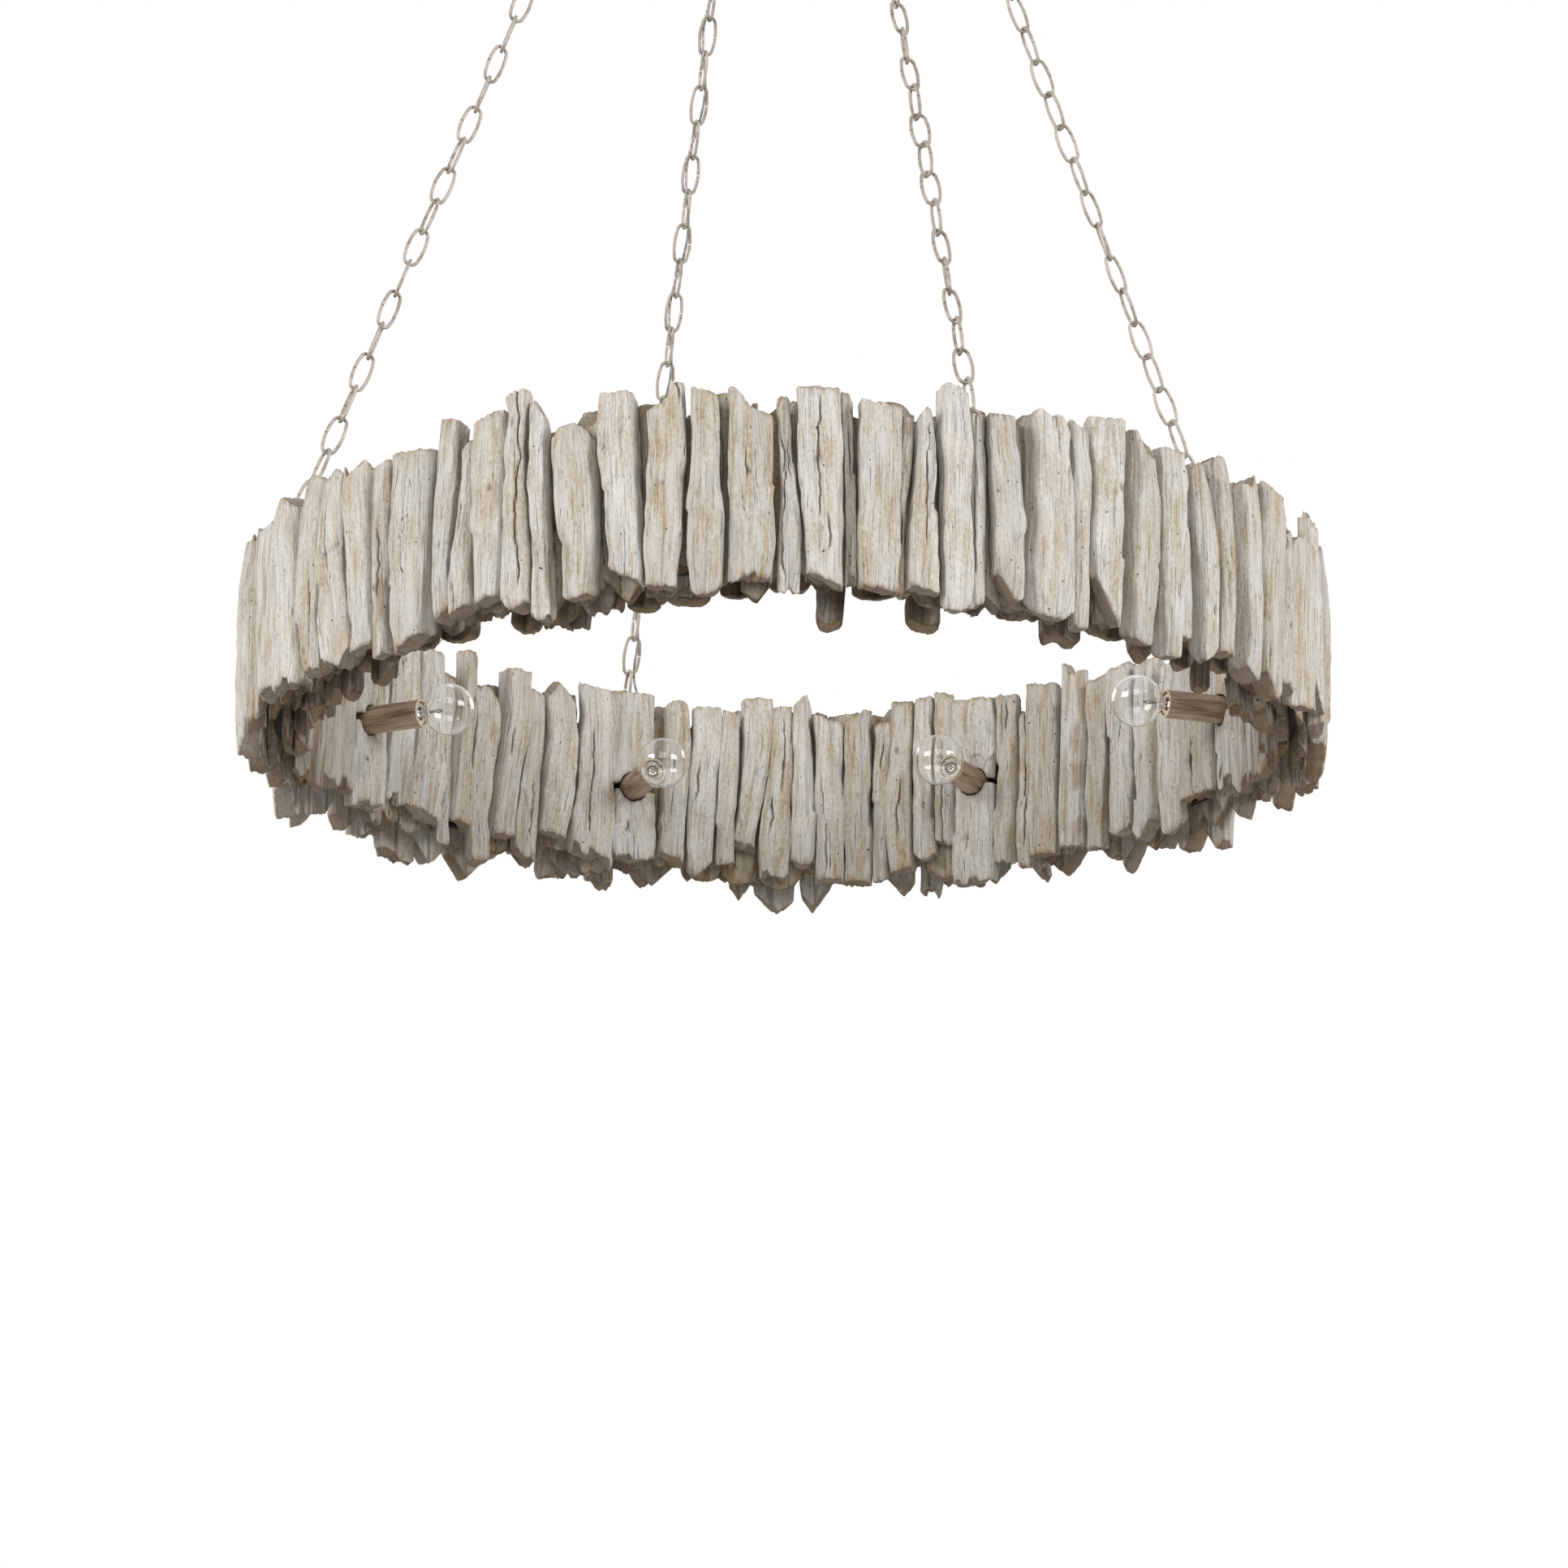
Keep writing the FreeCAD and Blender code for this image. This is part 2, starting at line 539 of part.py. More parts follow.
# Hoops, uprights and chain eyes
def make_hoops():
    for name, side in (("upper_hoop", 1), ("lower_hoop", -1)):
        z = ring_z + side * hoop_middle - hoop_height / 2
        hoop = pipe(2 * hoop_outer, 2 * hoop_inner, z, z + hoop_height)
        if side > 0:
            hole = lamp_heading(corded_lamp) + math.degrees(cord_hole_offset / hoop_radius)
            foot = polar(hoop_radius, hole, z)
            hoop = hoop.cut(rod(foot, foot + up * hoop_height, cord_hole))
        add(name, hoop)

    height = hoop_spacing - hoop_height
    for k in range(lamp_count):
        corner = Vector(-upright_width / 2, hoop_inner, -height / 2)
        bar = Part.makeBox(upright_width, upright_thickness, height, corner)
        bar = bar.cut(rod(Vector(), Vector(0, hoop_outer, 0), socket_nipple_diameter + 2 * thread_slip))
        bar.Placement = Placement(Vector(0, 0, ring_z), Rotation(up, -lamp_heading(k)))
        add("hoop_uprights", bar)
    for lamp in chain_lamps:
        heading = lamp_heading(lamp)
        middle = polar(hoop_radius, heading, eye_top_z - eye_radius)
        eye = Part.makeTorus(eye_radius, eye_wire / 2, middle, polar(1, heading, 0))
        foot = polar(hoop_radius, heading, ring_z + hoop_top)
        add("chain_eyes", eye.fuse(rod(foot, foot + up * eye_shank, eye_wire)).removeSplitter())


# A piece made along Z from a sleeve's mouth is laid at each lamp, with +Z into the ring
def at_lamps(name, shape, numbered=False):
    for k in range(lamp_count):
        heading = lamp_heading(k)
        copy = shape.copy()
        turn = Rotation(tangent(heading) * -1, Vector(0, 0, -1), polar(-1, heading, 0), "ZXY")
        copy.Placement = Placement(polar(mouth_radius, heading, ring_z), turn)
        add(name.format(k + 1) if numbered else name, copy)


def make_sockets():
    at_lamps("candle_sleeves", pipe(sleeve_diameter, sleeve_diameter - 2 * sleeve_wall, -sleeve_length, 0))

    holder_radius = sleeve_diameter / 2 - sleeve_wall - slip
    face = -holder_recess
    foot = face - holder_length
    well = shell_diameter / 2 + slip
    floor = contact_z - contact_thickness
    thread = socket_nipple_diameter / 2 + thread_slip
    nipple_end = foot + socket_nipple_grip
    at_lamps("lamp_holders", turned([
        (well, face), (holder_radius - holder_chamfer, face), (holder_radius, face - holder_chamfer),
        (holder_radius, foot), (thread, foot), (thread, nipple_end + slip), (0, nipple_end + slip),
        (0, floor), (well, floor),
    ]))
    shell_foot = contact_z + shell_lift
    at_lamps("screw_shells", pipe(shell_diameter, shell_diameter - 2 * shell_wall, shell_foot, face - slip))
    contact = Part.makeCylinder(contact_diameter / 2, contact_thickness, Vector(0, 0, floor))
    at_lamps("centre_contacts", contact)

    upright_face = mouth_radius - hoop_inner
    nipple_foot = upright_face - upright_thickness
    at_lamps("socket_nipples", pipe(socket_nipple_diameter, socket_nipple_bore, nipple_foot, nipple_end))
    nut_bore = socket_nipple_diameter + 2 * thread_slip
    nut_foot = upright_face + slip
    at_lamps("socket_locknuts", hex_nut(socket_nut_width, nut_bore, nut_foot, nut_foot + socket_nut_height))


def dedupe(points):
    kept = [points[0]]
    for p in points[1:]:
        if abs(p[0] - kept[-1][0]) + abs(p[1] - kept[-1][1]) > 1e-6:
            kept.append(p)
    return kept


def make_bulbs():
    r = globe_diameter / 2
    c = globe_centre
    w = glass_wall
    neck = neck_diameter / 2
    foot = slip - base_depth
    flare = math.radians(globe_flare)
    inner_flare = math.asin((r * math.sin(flare) - w) / (r - w))
    out_r, out_z = r * math.sin(flare), c - r * math.cos(flare)
    in_r, in_z = (r - w) * math.sin(inner_flare), c - (r - w) * math.cos(inner_flare)
    glass = turned([
        (neck, foot), (neck, 0), (out_r, out_z), ("arc", r, c), (0, c + r), (0, c + r - w), ("arc", r - w, c),
        (in_r, in_z), (neck - w, 0), (neck - w, foot),
    ])
    at_lamps("bulb_{}_glass", glass, True)

    top = -base_depth
    bottom = top - base_length
    b = base_diameter / 2
    outline = [(0, top), (b, top)]
    turns = int((base_length - 2) / thread_pitch)
    for k in range(turns):
        z = top - 1.5 - k * thread_pitch
        outline += [(b, z), (b - thread_depth, z - thread_pitch / 2), (b, z - thread_pitch)]
    outline += [(b - 1, bottom), (0, bottom)]
    at_lamps("bulb_{}_base", turned(dedupe(outline)), True)
    point = bottom - tip_length
    tip = turned([(0, bottom), (b - 1.6, bottom), (tip_diameter / 2, point + 1), (0, point)])
    at_lamps("bulb_{}_base", tip, True)

    stem = rod(Vector(0, 0, top), Vector(0, 0, top + stem_length), stem_diameter)
    head = top + stem_length
    f = filament_width / 2
    lead = stem_diameter / 2 - filament_wire
    wire = cord([
        Vector(-lead, 0, head), Vector(-lead - 0.2, 0, head + 2), Vector(-f, 0, head + filament_rise - 4),
        Vector(-f / 3, 0, head + filament_rise), Vector(f / 3, 0, head + filament_rise - 0.3),
        Vector(f, 0, head + filament_rise - 4), Vector(lead + 0.2, 0, head + 2), Vector(lead, 0, head),
    ], filament_wire, "filament")
    at_lamps("bulb_{}_base", stem, True)
    at_lamps("bulb_{}_base", wire, True)


# Harness ring behind the uprights, with a tap into each socket's nipple
def make_wiring():
    middle = Vector(0, 0, ring_z + harness_height)
    add("ring_harness", Part.makeTorus(harness_radius, cord_diameter / 2, middle))
    z0 = harness_height - cord_diameter / 2 - slip
    y = harness_radius
    s = math.sqrt(0.5)
    b = tap_bend
    inner_end = mouth_radius + holder_recess + holder_length - socket_nipple_grip + 1
    edges = [
        Part.LineSegment(Vector(0, y, z0), Vector(0, y, b)).toShape(),
        Part.Arc(Vector(0, y, b), Vector(0, y - b + b * s, b - b * s), Vector(0, y - b, 0)).toShape(),
        Part.LineSegment(Vector(0, y - b, 0), Vector(0, inner_end, 0)).toShape(),
    ]
    tap = swept(edges, tap_diameter)
    for k in range(lamp_count):
        copy = tap.copy()
        copy.Placement = Placement(Vector(0, 0, ring_z), Rotation(up, -lamp_heading(k)))
        add("socket_wires", copy)


# Closed solid through rings of points, with flat triangles between them
def faceted(rings):
    faces = []

    def triangle(a, b, c):
        faces.append(Part.Face(Part.makePolygon([a, b, c, a])))

    n = len(rings[0])
    for low, high in zip(rings, rings[1:]):
        for k in range(n):
            m = (k + 1) % n
            triangle(low[k], low[m], high[m])
            triangle(low[k], high[m], high[k])
    for ring in (rings[0], rings[-1]):
        for k in range(1, n - 1):
            triangle(ring[0], ring[k], ring[k + 1])
    solid = Part.Solid(Part.Shell(faces))
    if solid.Volume < 0:
        solid.reverse()
    return solid


# Heading of an edge, given at the two hoops and straight up and down beyond them
def along(edge, z):
    share = max(-0.5, min(0.5, z / hoop_spacing))
    return (edge[0] + edge[1]) / 2 + (edge[0] - edge[1]) * share


# One driftwood stick between two edges, with its top and bottom given at the left and the right
def make_stick(left, right, tops, bottoms, back, depth, outward, rng):
    side = 1 if outward else -1
    gap = math.degrees(stick_gap / 2 / back)
    ragged = [rng.uniform(1.0 - section_roughness, 1.0) for _ in section_outline]
    rings = []
    for share, wide, deep in section_shares:
        wide *= rng.uniform(1.0 - section_waver, 1.0)
        shift = rng.uniform(-1.0, 1.0) * (1.0 - wide)
        ring = []
        for (u, d), rough in zip(section_outline, ragged):
            across = 0.5 + (u * wide + shift) / 2
            top = tops[0] + (tops[1] - tops[0]) * across
            bottom = bottoms[0] + (bottoms[1] - bottoms[0]) * across
            z = bottom + (top - bottom) * share
            edge_a = along(left, z) + gap
            edge_b = along(right, z) - gap
            radius = back + side * d * deep * depth * rough
            ring.append(polar(radius, edge_a + (edge_b - edge_a) * across, ring_z + z))
        rings.append(ring)
    face = back + side * depth * min(ragged) * nailed_depth
    return faceted(rings), face


def drawn(rng, limits):
    return rng.uniform(limits[0], limits[1])


# A height at the left and the right of a stick of a given width
def slanted(rng, height, width):
    rise = rng.uniform(-hidden_slant, hidden_slant) * width / 2
    return height - rise, height + rise


# Sticks of drawn sizes that fill an arc, each with its edges, top, bottom and depth share
def drawn_sticks(rng, start, end, radius, widths, above, below):
    length = math.radians(end - start) * radius
    sizes = []
    while sum(sizes) < length - widths[0] / 2:
        sizes.append(drawn(rng, widths))
    left = (start, start)
    run = 0.0
    sticks = []
    for k, width in enumerate(sizes):
        run += width
        middle = start + (end - start) * run / sum(sizes)
        lean = rng.uniform(-edge_tilt, edge_tilt) if k + 1 < len(sizes) else 0.0
        swing = math.degrees(lean * hoop_middle / radius)
        right = (middle + swing, middle - swing)
        top = slanted(rng, hoop_middle + drawn(rng, above), width)
        bottom = slanted(rng, -hoop_middle - drawn(rng, below), width)
        sticks.append((left, right, top, bottom, drawn(rng, hidden_depths)))
        left = right
    return sticks


# Sticks given by their sizes, with arc lengths from a heading, towards larger or smaller headings
def given_sticks(rows, start, radius, sense, stretch):
    sticks = []
    for row in rows:
        a, b, c, d = [start + sense * math.degrees(x * stretch / radius) for x in row[:4]]
        tops = (hoop_middle + row[4], hoop_middle + row[5])
        bottoms = (-hoop_middle - row[6], -hoop_middle - row[7])
        stick = ((a, c), (b, d), tops, bottoms, row[8])
        if sense < 0:
            stick = ((b, d), (a, c), tops[::-1], bottoms[::-1], row[8])
        sticks.append(stick)
    return sticks


def quarter(heading):
    names = ("back", "right", "front", "left")
    return names[int(((heading + 45) % 360) // 90)]


def place_stick(name, stick, back, depth, outward, rng, brads=True):
    left, right, tops, bottoms, share = stick
    solid, face = make_stick(left, right, tops, bottoms, back, depth * share, outward, rng)
    add(name, solid)
    low, high = max(bottoms) + brad_margin, min(tops) - brad_margin
    for z in (-hoop_middle, hoop_middle):
        if brads and low < z < high:
            heading = (along(left, z) + along(right, z)) / 2
            start = polar(hoop_radius, heading, ring_z + z)
            end = polar(face - brad_sink if outward else face + brad_sink, heading, ring_z + z)
            add("brads", rod(start, end, brad_diameter))


def middle_heading(stick):
    return (sum(stick[0]) + sum(stick[1])) / 4


def make_outer_sticks():
    rng = random.Random(shuffle_seed)
    seen = given_sticks(viewer_sticks, 180.0, outer_front, -1, 1.0)
    start = max(seen[0][1])
    end = min(seen[-1][0]) + 360
    hidden = drawn_sticks(rng, start, end, outer_front, hidden_widths, hidden_above, hidden_below)
    for stick in seen + hidden:
        name = "outer_sticks_" + quarter(middle_heading(stick))
        place_stick(name, stick, outer_front, outer_depth, True, rng)


def make_inner_sticks():
    rng = random.Random(shuffle_seed + 1)
    column = math.degrees(column_half / inner_front)
    for k in range(lamp_count):
        heading = lamp_heading(k)
        left, right = (heading - column, heading - column), (heading + column, heading + column)
        top = chain_column_top if k in chain_lamps else hoop_middle + drawn(rng, hidden_above)
        low = -hoop_middle - drawn(rng, hidden_below)
        sticks = [
            (left, right, (top, top), (socket_half, socket_half), 1.0),
            (left, right, (-socket_half, -socket_half), slanted(rng, low, 2 * column_half), 1.0),
        ]
        start, end = heading + column, heading + lamp_step - column
        if k in viewer_bays:
            stretch = math.radians(end - start) * inner_front / bay_length
            sticks += given_sticks(viewer_bays[k], start, inner_front, 1, stretch)
        else:
            sticks += drawn_sticks(rng, start, end, inner_front, hidden_widths, hidden_above, hidden_below)
        for stick in sticks:
            name = "inner_sticks_" + quarter(middle_heading(stick))
            place_stick(name, stick, inner_front, inner_depth, False, rng)


# Backing sticks between the hoops and the front rows, low at the chain eyes and open at the sockets
def make_backing():
    rows = (("outer_backing", outer_backing, True), ("inner_backing", inner_backing, False))
    for name, back, outward in rows:
        rng = random.Random(shuffle_seed + 2 + outward)
        column = math.degrees(column_half / back)
        for k in range(lamp_count):
            heading = lamp_heading(k)
            left, right = (heading - column, heading - column), (heading + column, heading + column)
            low = -hoop_middle - drawn(rng, backing_below)
            spans = [(chain_backing_top, low)]
            if not outward:
                spans = [(chain_backing_top, socket_half), (-socket_half, low)]
            sticks = [(left, right, (top, top), (bottom, bottom), 1.0) for top, bottom in spans]
            start, end = heading + column, heading + lamp_step - column
            sticks += drawn_sticks(rng, start, end, back, backing_widths, backing_above, backing_below)
            for stick in sticks:
                place_stick(name, stick, back, backing_depth, outward, rng, False)


make_ceiling_parts()
make_hub()
make_chains()
make_supply_cord()
make_hoops()
make_sockets()
make_bulbs()
make_wiring()
make_outer_sticks()
make_inner_sticks()
make_backing()

os.makedirs("parts", exist_ok=True)
for name, solids in nodes.items():
    shape = solids[0] if len(solids) == 1 else Part.makeCompound(solids)
    shape.exportStep(f"parts/{name}.step")
print(f"{len(nodes)} nodes, {sum(len(s) for s in nodes.values())} pieces, ring middle at z {ring_z:.1f}")
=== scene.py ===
import bmesh
import bpy
import math
import numpy as np
import random
from mathutils import Matrix, Vector
from mathutils.bvhtree import BVHTree


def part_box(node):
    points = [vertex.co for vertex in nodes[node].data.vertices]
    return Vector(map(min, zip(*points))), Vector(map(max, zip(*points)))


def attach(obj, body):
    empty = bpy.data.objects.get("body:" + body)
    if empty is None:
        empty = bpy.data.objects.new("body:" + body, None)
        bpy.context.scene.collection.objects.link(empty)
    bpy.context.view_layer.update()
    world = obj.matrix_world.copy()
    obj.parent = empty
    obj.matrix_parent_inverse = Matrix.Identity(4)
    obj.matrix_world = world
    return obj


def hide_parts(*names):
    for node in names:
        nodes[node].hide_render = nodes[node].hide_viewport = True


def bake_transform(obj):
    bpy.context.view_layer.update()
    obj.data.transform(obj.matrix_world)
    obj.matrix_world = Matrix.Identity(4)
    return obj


# Driftwood chandelier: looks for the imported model, in metres, +Z up, the viewer at -Y
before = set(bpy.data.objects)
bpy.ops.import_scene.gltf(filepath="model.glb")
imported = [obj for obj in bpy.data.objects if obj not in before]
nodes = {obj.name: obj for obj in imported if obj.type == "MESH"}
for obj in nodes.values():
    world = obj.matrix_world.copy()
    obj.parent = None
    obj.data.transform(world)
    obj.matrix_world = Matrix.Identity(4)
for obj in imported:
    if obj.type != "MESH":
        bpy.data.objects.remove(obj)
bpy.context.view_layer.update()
scene = bpy.context.scene
scene.view_settings.view_transform = "Standard"
mm = 0.001

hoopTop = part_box("upper_hoop")
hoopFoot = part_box("lower_hoop")
ringZ = (hoopTop[0].z + hoopTop[1].z + hoopFoot[0].z + hoopFoot[1].z) / 4
hoopReach = ((hoopTop[0].z + hoopTop[1].z) / 2 - ringZ) / mm  # from the ring's middle to a hoop's
print("frame loaded, ring middle at", round(ringZ, 4))


# Heading in degrees from +Y towards +X, as in the part
def polar(radius, heading, z):
    a = math.radians(heading)
    return Vector((radius * math.sin(a), radius * math.cos(a), z))


# sRGB hex to the linear colour that shaders take
def colour(text):
    parts = [int(text[k:k + 2], 16) / 255 for k in (1, 3, 5)]
    flat = [c / 12.92 if c <= 0.04045 else ((c + 0.055) / 1.055) ** 2.4 for c in parts]
    return (*flat, 1.0)


# Adds a node, sets its settings or sockets by name or number, and links what is given
def addNode(tree, kind, settings=None, links=None):
    node = tree.nodes.new("ShaderNode" + kind)
    for key, value in (settings or {}).items():
        if isinstance(key, str) and hasattr(node, key):
            setattr(node, key, value)
        else:
            node.inputs[key].default_value = value
    for key, source in (links or {}).items():
        tree.links.new(source, node.inputs[key])
    return node


def startMaterial(name, settings):
    material = bpy.data.materials.new(name)
    material.use_nodes = True
    tree = material.node_tree
    shader = tree.nodes["Principled BSDF"]
    for key, value in settings.items():
        shader.inputs[key].default_value = value
    return material, tree, shader


def addRamp(tree, amount, stops):
    ramp = addNode(tree, "ValToRGB", links={"Fac": amount})
    elements = ramp.color_ramp.elements
    while len(elements) < len(stops):
        elements.new(0.5)
    for element, (place, tint) in zip(elements, stops):
        element.position = place
        element.color = colour(tint)
    return ramp.outputs["Color"]


# Noise for a pattern of one width and length, the length along Z
def addGrain(tree, space, wide, long, settings):
    sizes = {"operation": "MULTIPLY", 1: (1 / wide, 1 / wide, 1 / long)}
    scaled = addNode(tree, "VectorMath", sizes, {0: space}).outputs[0]
    return addNode(tree, "TexNoise", {"Scale": 1.0, **settings}, {"Vector": scaled}).outputs["Fac"]


def addRange(tree, value, low, high, least=0.0, most=1.0, kind="SMOOTHSTEP"):
    ends = {"From Min": low, "From Max": high, "To Min": least, "To Max": most}
    settings = {"interpolation_type": kind, **ends}
    return addNode(tree, "MapRange", settings, {"Value": value}).outputs["Result"]


def addBump(tree, shader, strength, depth, height):  # depth in mm
    bump = addNode(tree, "Bump", {"Strength": strength, "Distance": depth * mm}, {"Height": height})
    tree.links.new(bump.outputs["Normal"], shader.inputs["Normal"])


# Lets light straight through, as far as the amount says
def addClear(tree, shader, amount):
    clear = addNode(tree, "BsdfTransparent")
    mixed = addNode(tree, "MixShader", links={0: amount, 1: shader.outputs[0], 2: clear.outputs[0]})
    tree.links.new(mixed.outputs[0], tree.nodes["Material Output"].inputs["Surface"])


def addObject(name, data):
    made = bpy.data.objects.new(name, data)
    scene.collection.objects.link(made)
    return made


def smoothFaces(mesh):
    mesh.polygons.foreach_set("use_smooth", np.ones(len(mesh.polygons), bool))


def setWoodSpace(mesh, space):
    layer = mesh.attributes.new("woodSpace", "FLOAT_VECTOR", "POINT")
    layer.data.foreach_set("vector", space.astype(np.float32).ravel())


def wearMaterial(node, material):
    node.data.materials.clear()
    node.data.materials.append(material)


# Sets a new piece on its body, in place of the part's own
def setPiece(piece, body, node):
    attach(piece, body)
    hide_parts(node)


# Driftwood, sea-worn and limed by hand: pale wash over tan fibres that stand proud along the grain,
# dark checks and pin holes, and tan arrises and ends where the wash has rubbed off
limedWood = {
    "name": "driftwood_limed",
    "wash": ((0.36, "#ac936c"), (0.43, "#bfae90"), (0.485, "#cbc2b3"), (0.53, "#d2ccc2"), (0.64, "#dbd7d0")),
    "line": "#7d7160", "crest": "#e6e4df", "check": "#3f352b", "low": "#645343", "worn": "#9a7b54",
    "cool": "#cfd1d6",
    "patterns": {  # width and length in mm, detail, and which noise
        "streak": (4.2, 110.0, 4.0, 3.0),
        "patch": (15.0, 58.0, 4.0, 7.0),
        "fibre": (1.4, 46.0, 3.0, 0.0),  # drawn a little coarse so that it shows
        "check": (8.0, 130.0, 3.0, 11.0),
        "crust": (2.0, 4.6, 4.0, 17.0),  # flecks of dried wash
    },
    "roughness": 0.62,  # of the patterns' noise
    "cover": {"streak": 0.32, "patch": 0.44, "crust": 0.24},  # shares in how thick the wash lies
    "coats": (  # pattern, where the coat starts and is full, its most, its colour
        ("streak", 0.53, 0.64, 0.6, "cool"), ("fibre", 0.49, 0.34, 0.56, "line"),
        ("crust", 0.55, 0.70, 0.4, "crest"), ("crust", 0.43, 0.33, 0.4, "line"),
        ("crust", 0.34, 0.27, 0.5, "check"), ("wear", 0.2, 1.0, 0.62, "worn"),
        # the low colour darkens low relief, and lays painted shade on the inner sticks near the viewer and on
        # the bottom ends
        ("reliefAndShade", 0.48, 0.10, 0.9, "low"),
    ),
    "checkEdge": (0.012, 0.003), "checkStreak": (0.55, 0.66), "checkDark": 0.6,
    "holeSpacing": 10.0, "holeStretch": 0.8,  # mm between pin holes
    "holeChance": 0.66, "holeEdge": (0.10, 0.06), "holeDark": 0.85,
    "shade": (0.84, 1.06), "tint": (0.7, 1.1),  # over a stick's tone
    "heights": (("checks", -1.5), ("streak", 1.2), ("crust", 0.8), ("holes", -0.8)),
    "bump": 0.9, "bumpDepth": 1.6,  # strength, mm
}

# The same wood with a thinner, browner wash, for the sticks behind the front rows
bareWood = dict(
    limedWood, name="driftwood_bare", line="#685a49", crest="#c4bbac", worn="#846a4b", shade=(0.8, 1.0),
    wash=((0.36, "#957b58"), (0.43, "#a89373"), (0.485, "#b7a88f"), (0.53, "#c1b6a3"), (0.64, "#cac2b4")),
    cool="#b9b5ae",
)


def makeDriftwood(look):
    material, tree, shader = startMaterial(look["name"], {"Roughness": 0.92, "Specular IOR Level": 0.18})

    def readLayer(label, kind="Fac"):
        return addNode(tree, "Attribute", {"attribute_name": label}).outputs[kind]

    def sums(operation, first, second, third=None):
        settings, links = {"operation": operation}, {}
        for key, value in enumerate((first, second, third)):
            if value is not None:
                (settings if isinstance(value, float) else links)[key] = value
        return addNode(tree, "Math", settings, links).outputs[0]

    def lay(amount, tint, under):  # one coat over what is under it
        settings = {"data_type": "RGBA", 7: colour(look[tint])}
        return addNode(tree, "Mix", settings, {0: amount, 6: under}).outputs[2]

    space, tone = readLayer("woodSpace", "Vector"), readLayer("tone")
    fields = {"reliefAndShade": readLayer("reliefAndShade"), "wear": readLayer("wear")}
    for label, (wide, long, detail, shift) in look["patterns"].items():
        settings = {"noise_dimensions": "4D", "Detail": detail, "Roughness": look["roughness"], "W": shift}
        fields[label] = addGrain(tree, space, wide, long, settings)

    cover = sums("MULTIPLY", fields["streak"], look["cover"]["streak"])
    for label in ("patch", "crust"):
        cover = sums("MULTIPLY_ADD", fields[label], look["cover"][label], cover)
    shown = addRamp(tree, cover, look["wash"])
    for label, start, full, most, tint in look["coats"]:
        shown = lay(addRange(tree, fields[label], start, full, 0.0, most), tint, shown)

    ridge = sums("ABSOLUTE", sums("SUBTRACT", fields["check"], 0.5), 0.0)
    streaked = addRange(tree, fields["streak"], *look["checkStreak"])
    fields["checks"] = sums("MULTIPLY", addRange(tree, ridge, *look["checkEdge"]), streaked)
    shown = lay(sums("MULTIPLY", fields["checks"], look["checkDark"]), "check", shown)

    gap = look["holeSpacing"]
    sizes = {"operation": "MULTIPLY", 1: (1 / gap, 1 / gap, look["holeStretch"] / gap)}
    spread = addNode(tree, "VectorMath", sizes, {0: space}).outputs[0]
    pins = addNode(tree, "TexVoronoi", {"Scale": 1.0, "Randomness": 1.0}, {"Vector": spread})
    chance = addNode(tree, "SeparateColor", links={"Color": pins.outputs["Color"]}).outputs[0]
    chosen = sums("GREATER_THAN", chance, look["holeChance"])
    fields["holes"] = sums("MULTIPLY", chosen, addRange(tree, pins.outputs["Distance"], *look["holeEdge"]))
    shown = lay(sums("MULTIPLY", fields["holes"], look["holeDark"]), "check", shown)

    # tone varies each stick at random, and darkens the inner sticks near the viewer as painted shade
    tinted = addNode(tree, "HueSaturation", links={
        "Color": shown, "Value": addRange(tree, tone, 0.0, 1.0, *look["shade"]),
        "Saturation": addRange(tree, tone, 1.0, 0.0, *look["tint"])})
    tree.links.new(tinted.outputs["Color"], shader.inputs["Base Color"])

    height = fields["fibre"]
    for label, amount in look["heights"]:
        height = sums("MULTIPLY_ADD", fields[label], amount, height)
    addBump(tree, shader, look["bump"], look["bumpDepth"], height)
    return material


# Plain finishes share one small recipe: a ground colour, a worn colour in blotches, and a fine bump
finish = {
    "edge": (0.62, 0.72), "shift": 0.3,  # noise where the worn colour starts and is full, less by its share
    "most": 0.85, "polish": (-0.06, 0.14),
    "bump": 0.35, "depth": 0.05,  # strength, mm
}


def makeFinish(name, ground, worn, blotch, share, roughness, metallic=0.0, grit=0.6):  # blotch and grit in mm
    material, tree, shader = startMaterial(name, {"Metallic": metallic, "Roughness": roughness})
    place = addNode(tree, "TexCoord").outputs["Object"]
    cloud = addGrain(tree, place, blotch * mm, blotch * mm, {"Detail": 5.0, "Roughness": 0.65})
    low, high = (level - share * finish["shift"] for level in finish["edge"])
    colours = {"data_type": "RGBA", 6: colour(ground), 7: colour(worn)}
    tint = addNode(tree, "Mix", colours, {0: addRange(tree, cloud, low, high, 0.0, finish["most"])})
    tree.links.new(tint.outputs[2], shader.inputs["Base Color"])
    rub = addRange(tree, cloud, 0.0, 1.0, *(roughness + change for change in finish["polish"]), kind="LINEAR")
    tree.links.new(rub, shader.inputs["Roughness"])
    fine = addNode(tree, "TexNoise", {"Scale": 1 / (grit * mm), "Detail": 2.0}, {"Vector": place})
    addBump(tree, shader, finish["bump"], finish["depth"], fine.outputs["Fac"])
    return material


limed = makeDriftwood(limedWood)
bare = makeDriftwood(bareWood)
# Steel wire and pressings under a sprayed champagne lacquer: soft pale metal with brown rubbed patches
champagne = makeFinish("steel_champagne_lacquer", "#b4aba0", "#958a7c", blotch=16.0, share=0.4,
                       roughness=0.42, metallic=0.3, grit=6.0)
# Hot-rolled bar: near black mill scale, a little rust
blackSteel = makeFinish("steel_hot_rolled", "#2b2a29", "#4a3a2d", blotch=14.0, share=0.3, roughness=0.6,
                        metallic=0.6, grit=1.2)
# Zinc plate: light grey with a dull bloom
zinc = makeFinish("steel_zinc_plated", "#b4b6b6", "#8d8f8e", blotch=5.0, share=0.5, roughness=0.38,
                  metallic=0.9)
# Drawn steel wire of the brads: dark, browned by the damp
browned = makeFinish("steel_wire_browned", "#4d453c", "#3a2c20", blotch=3.0, share=0.5, roughness=0.6,
                     metallic=0.5)
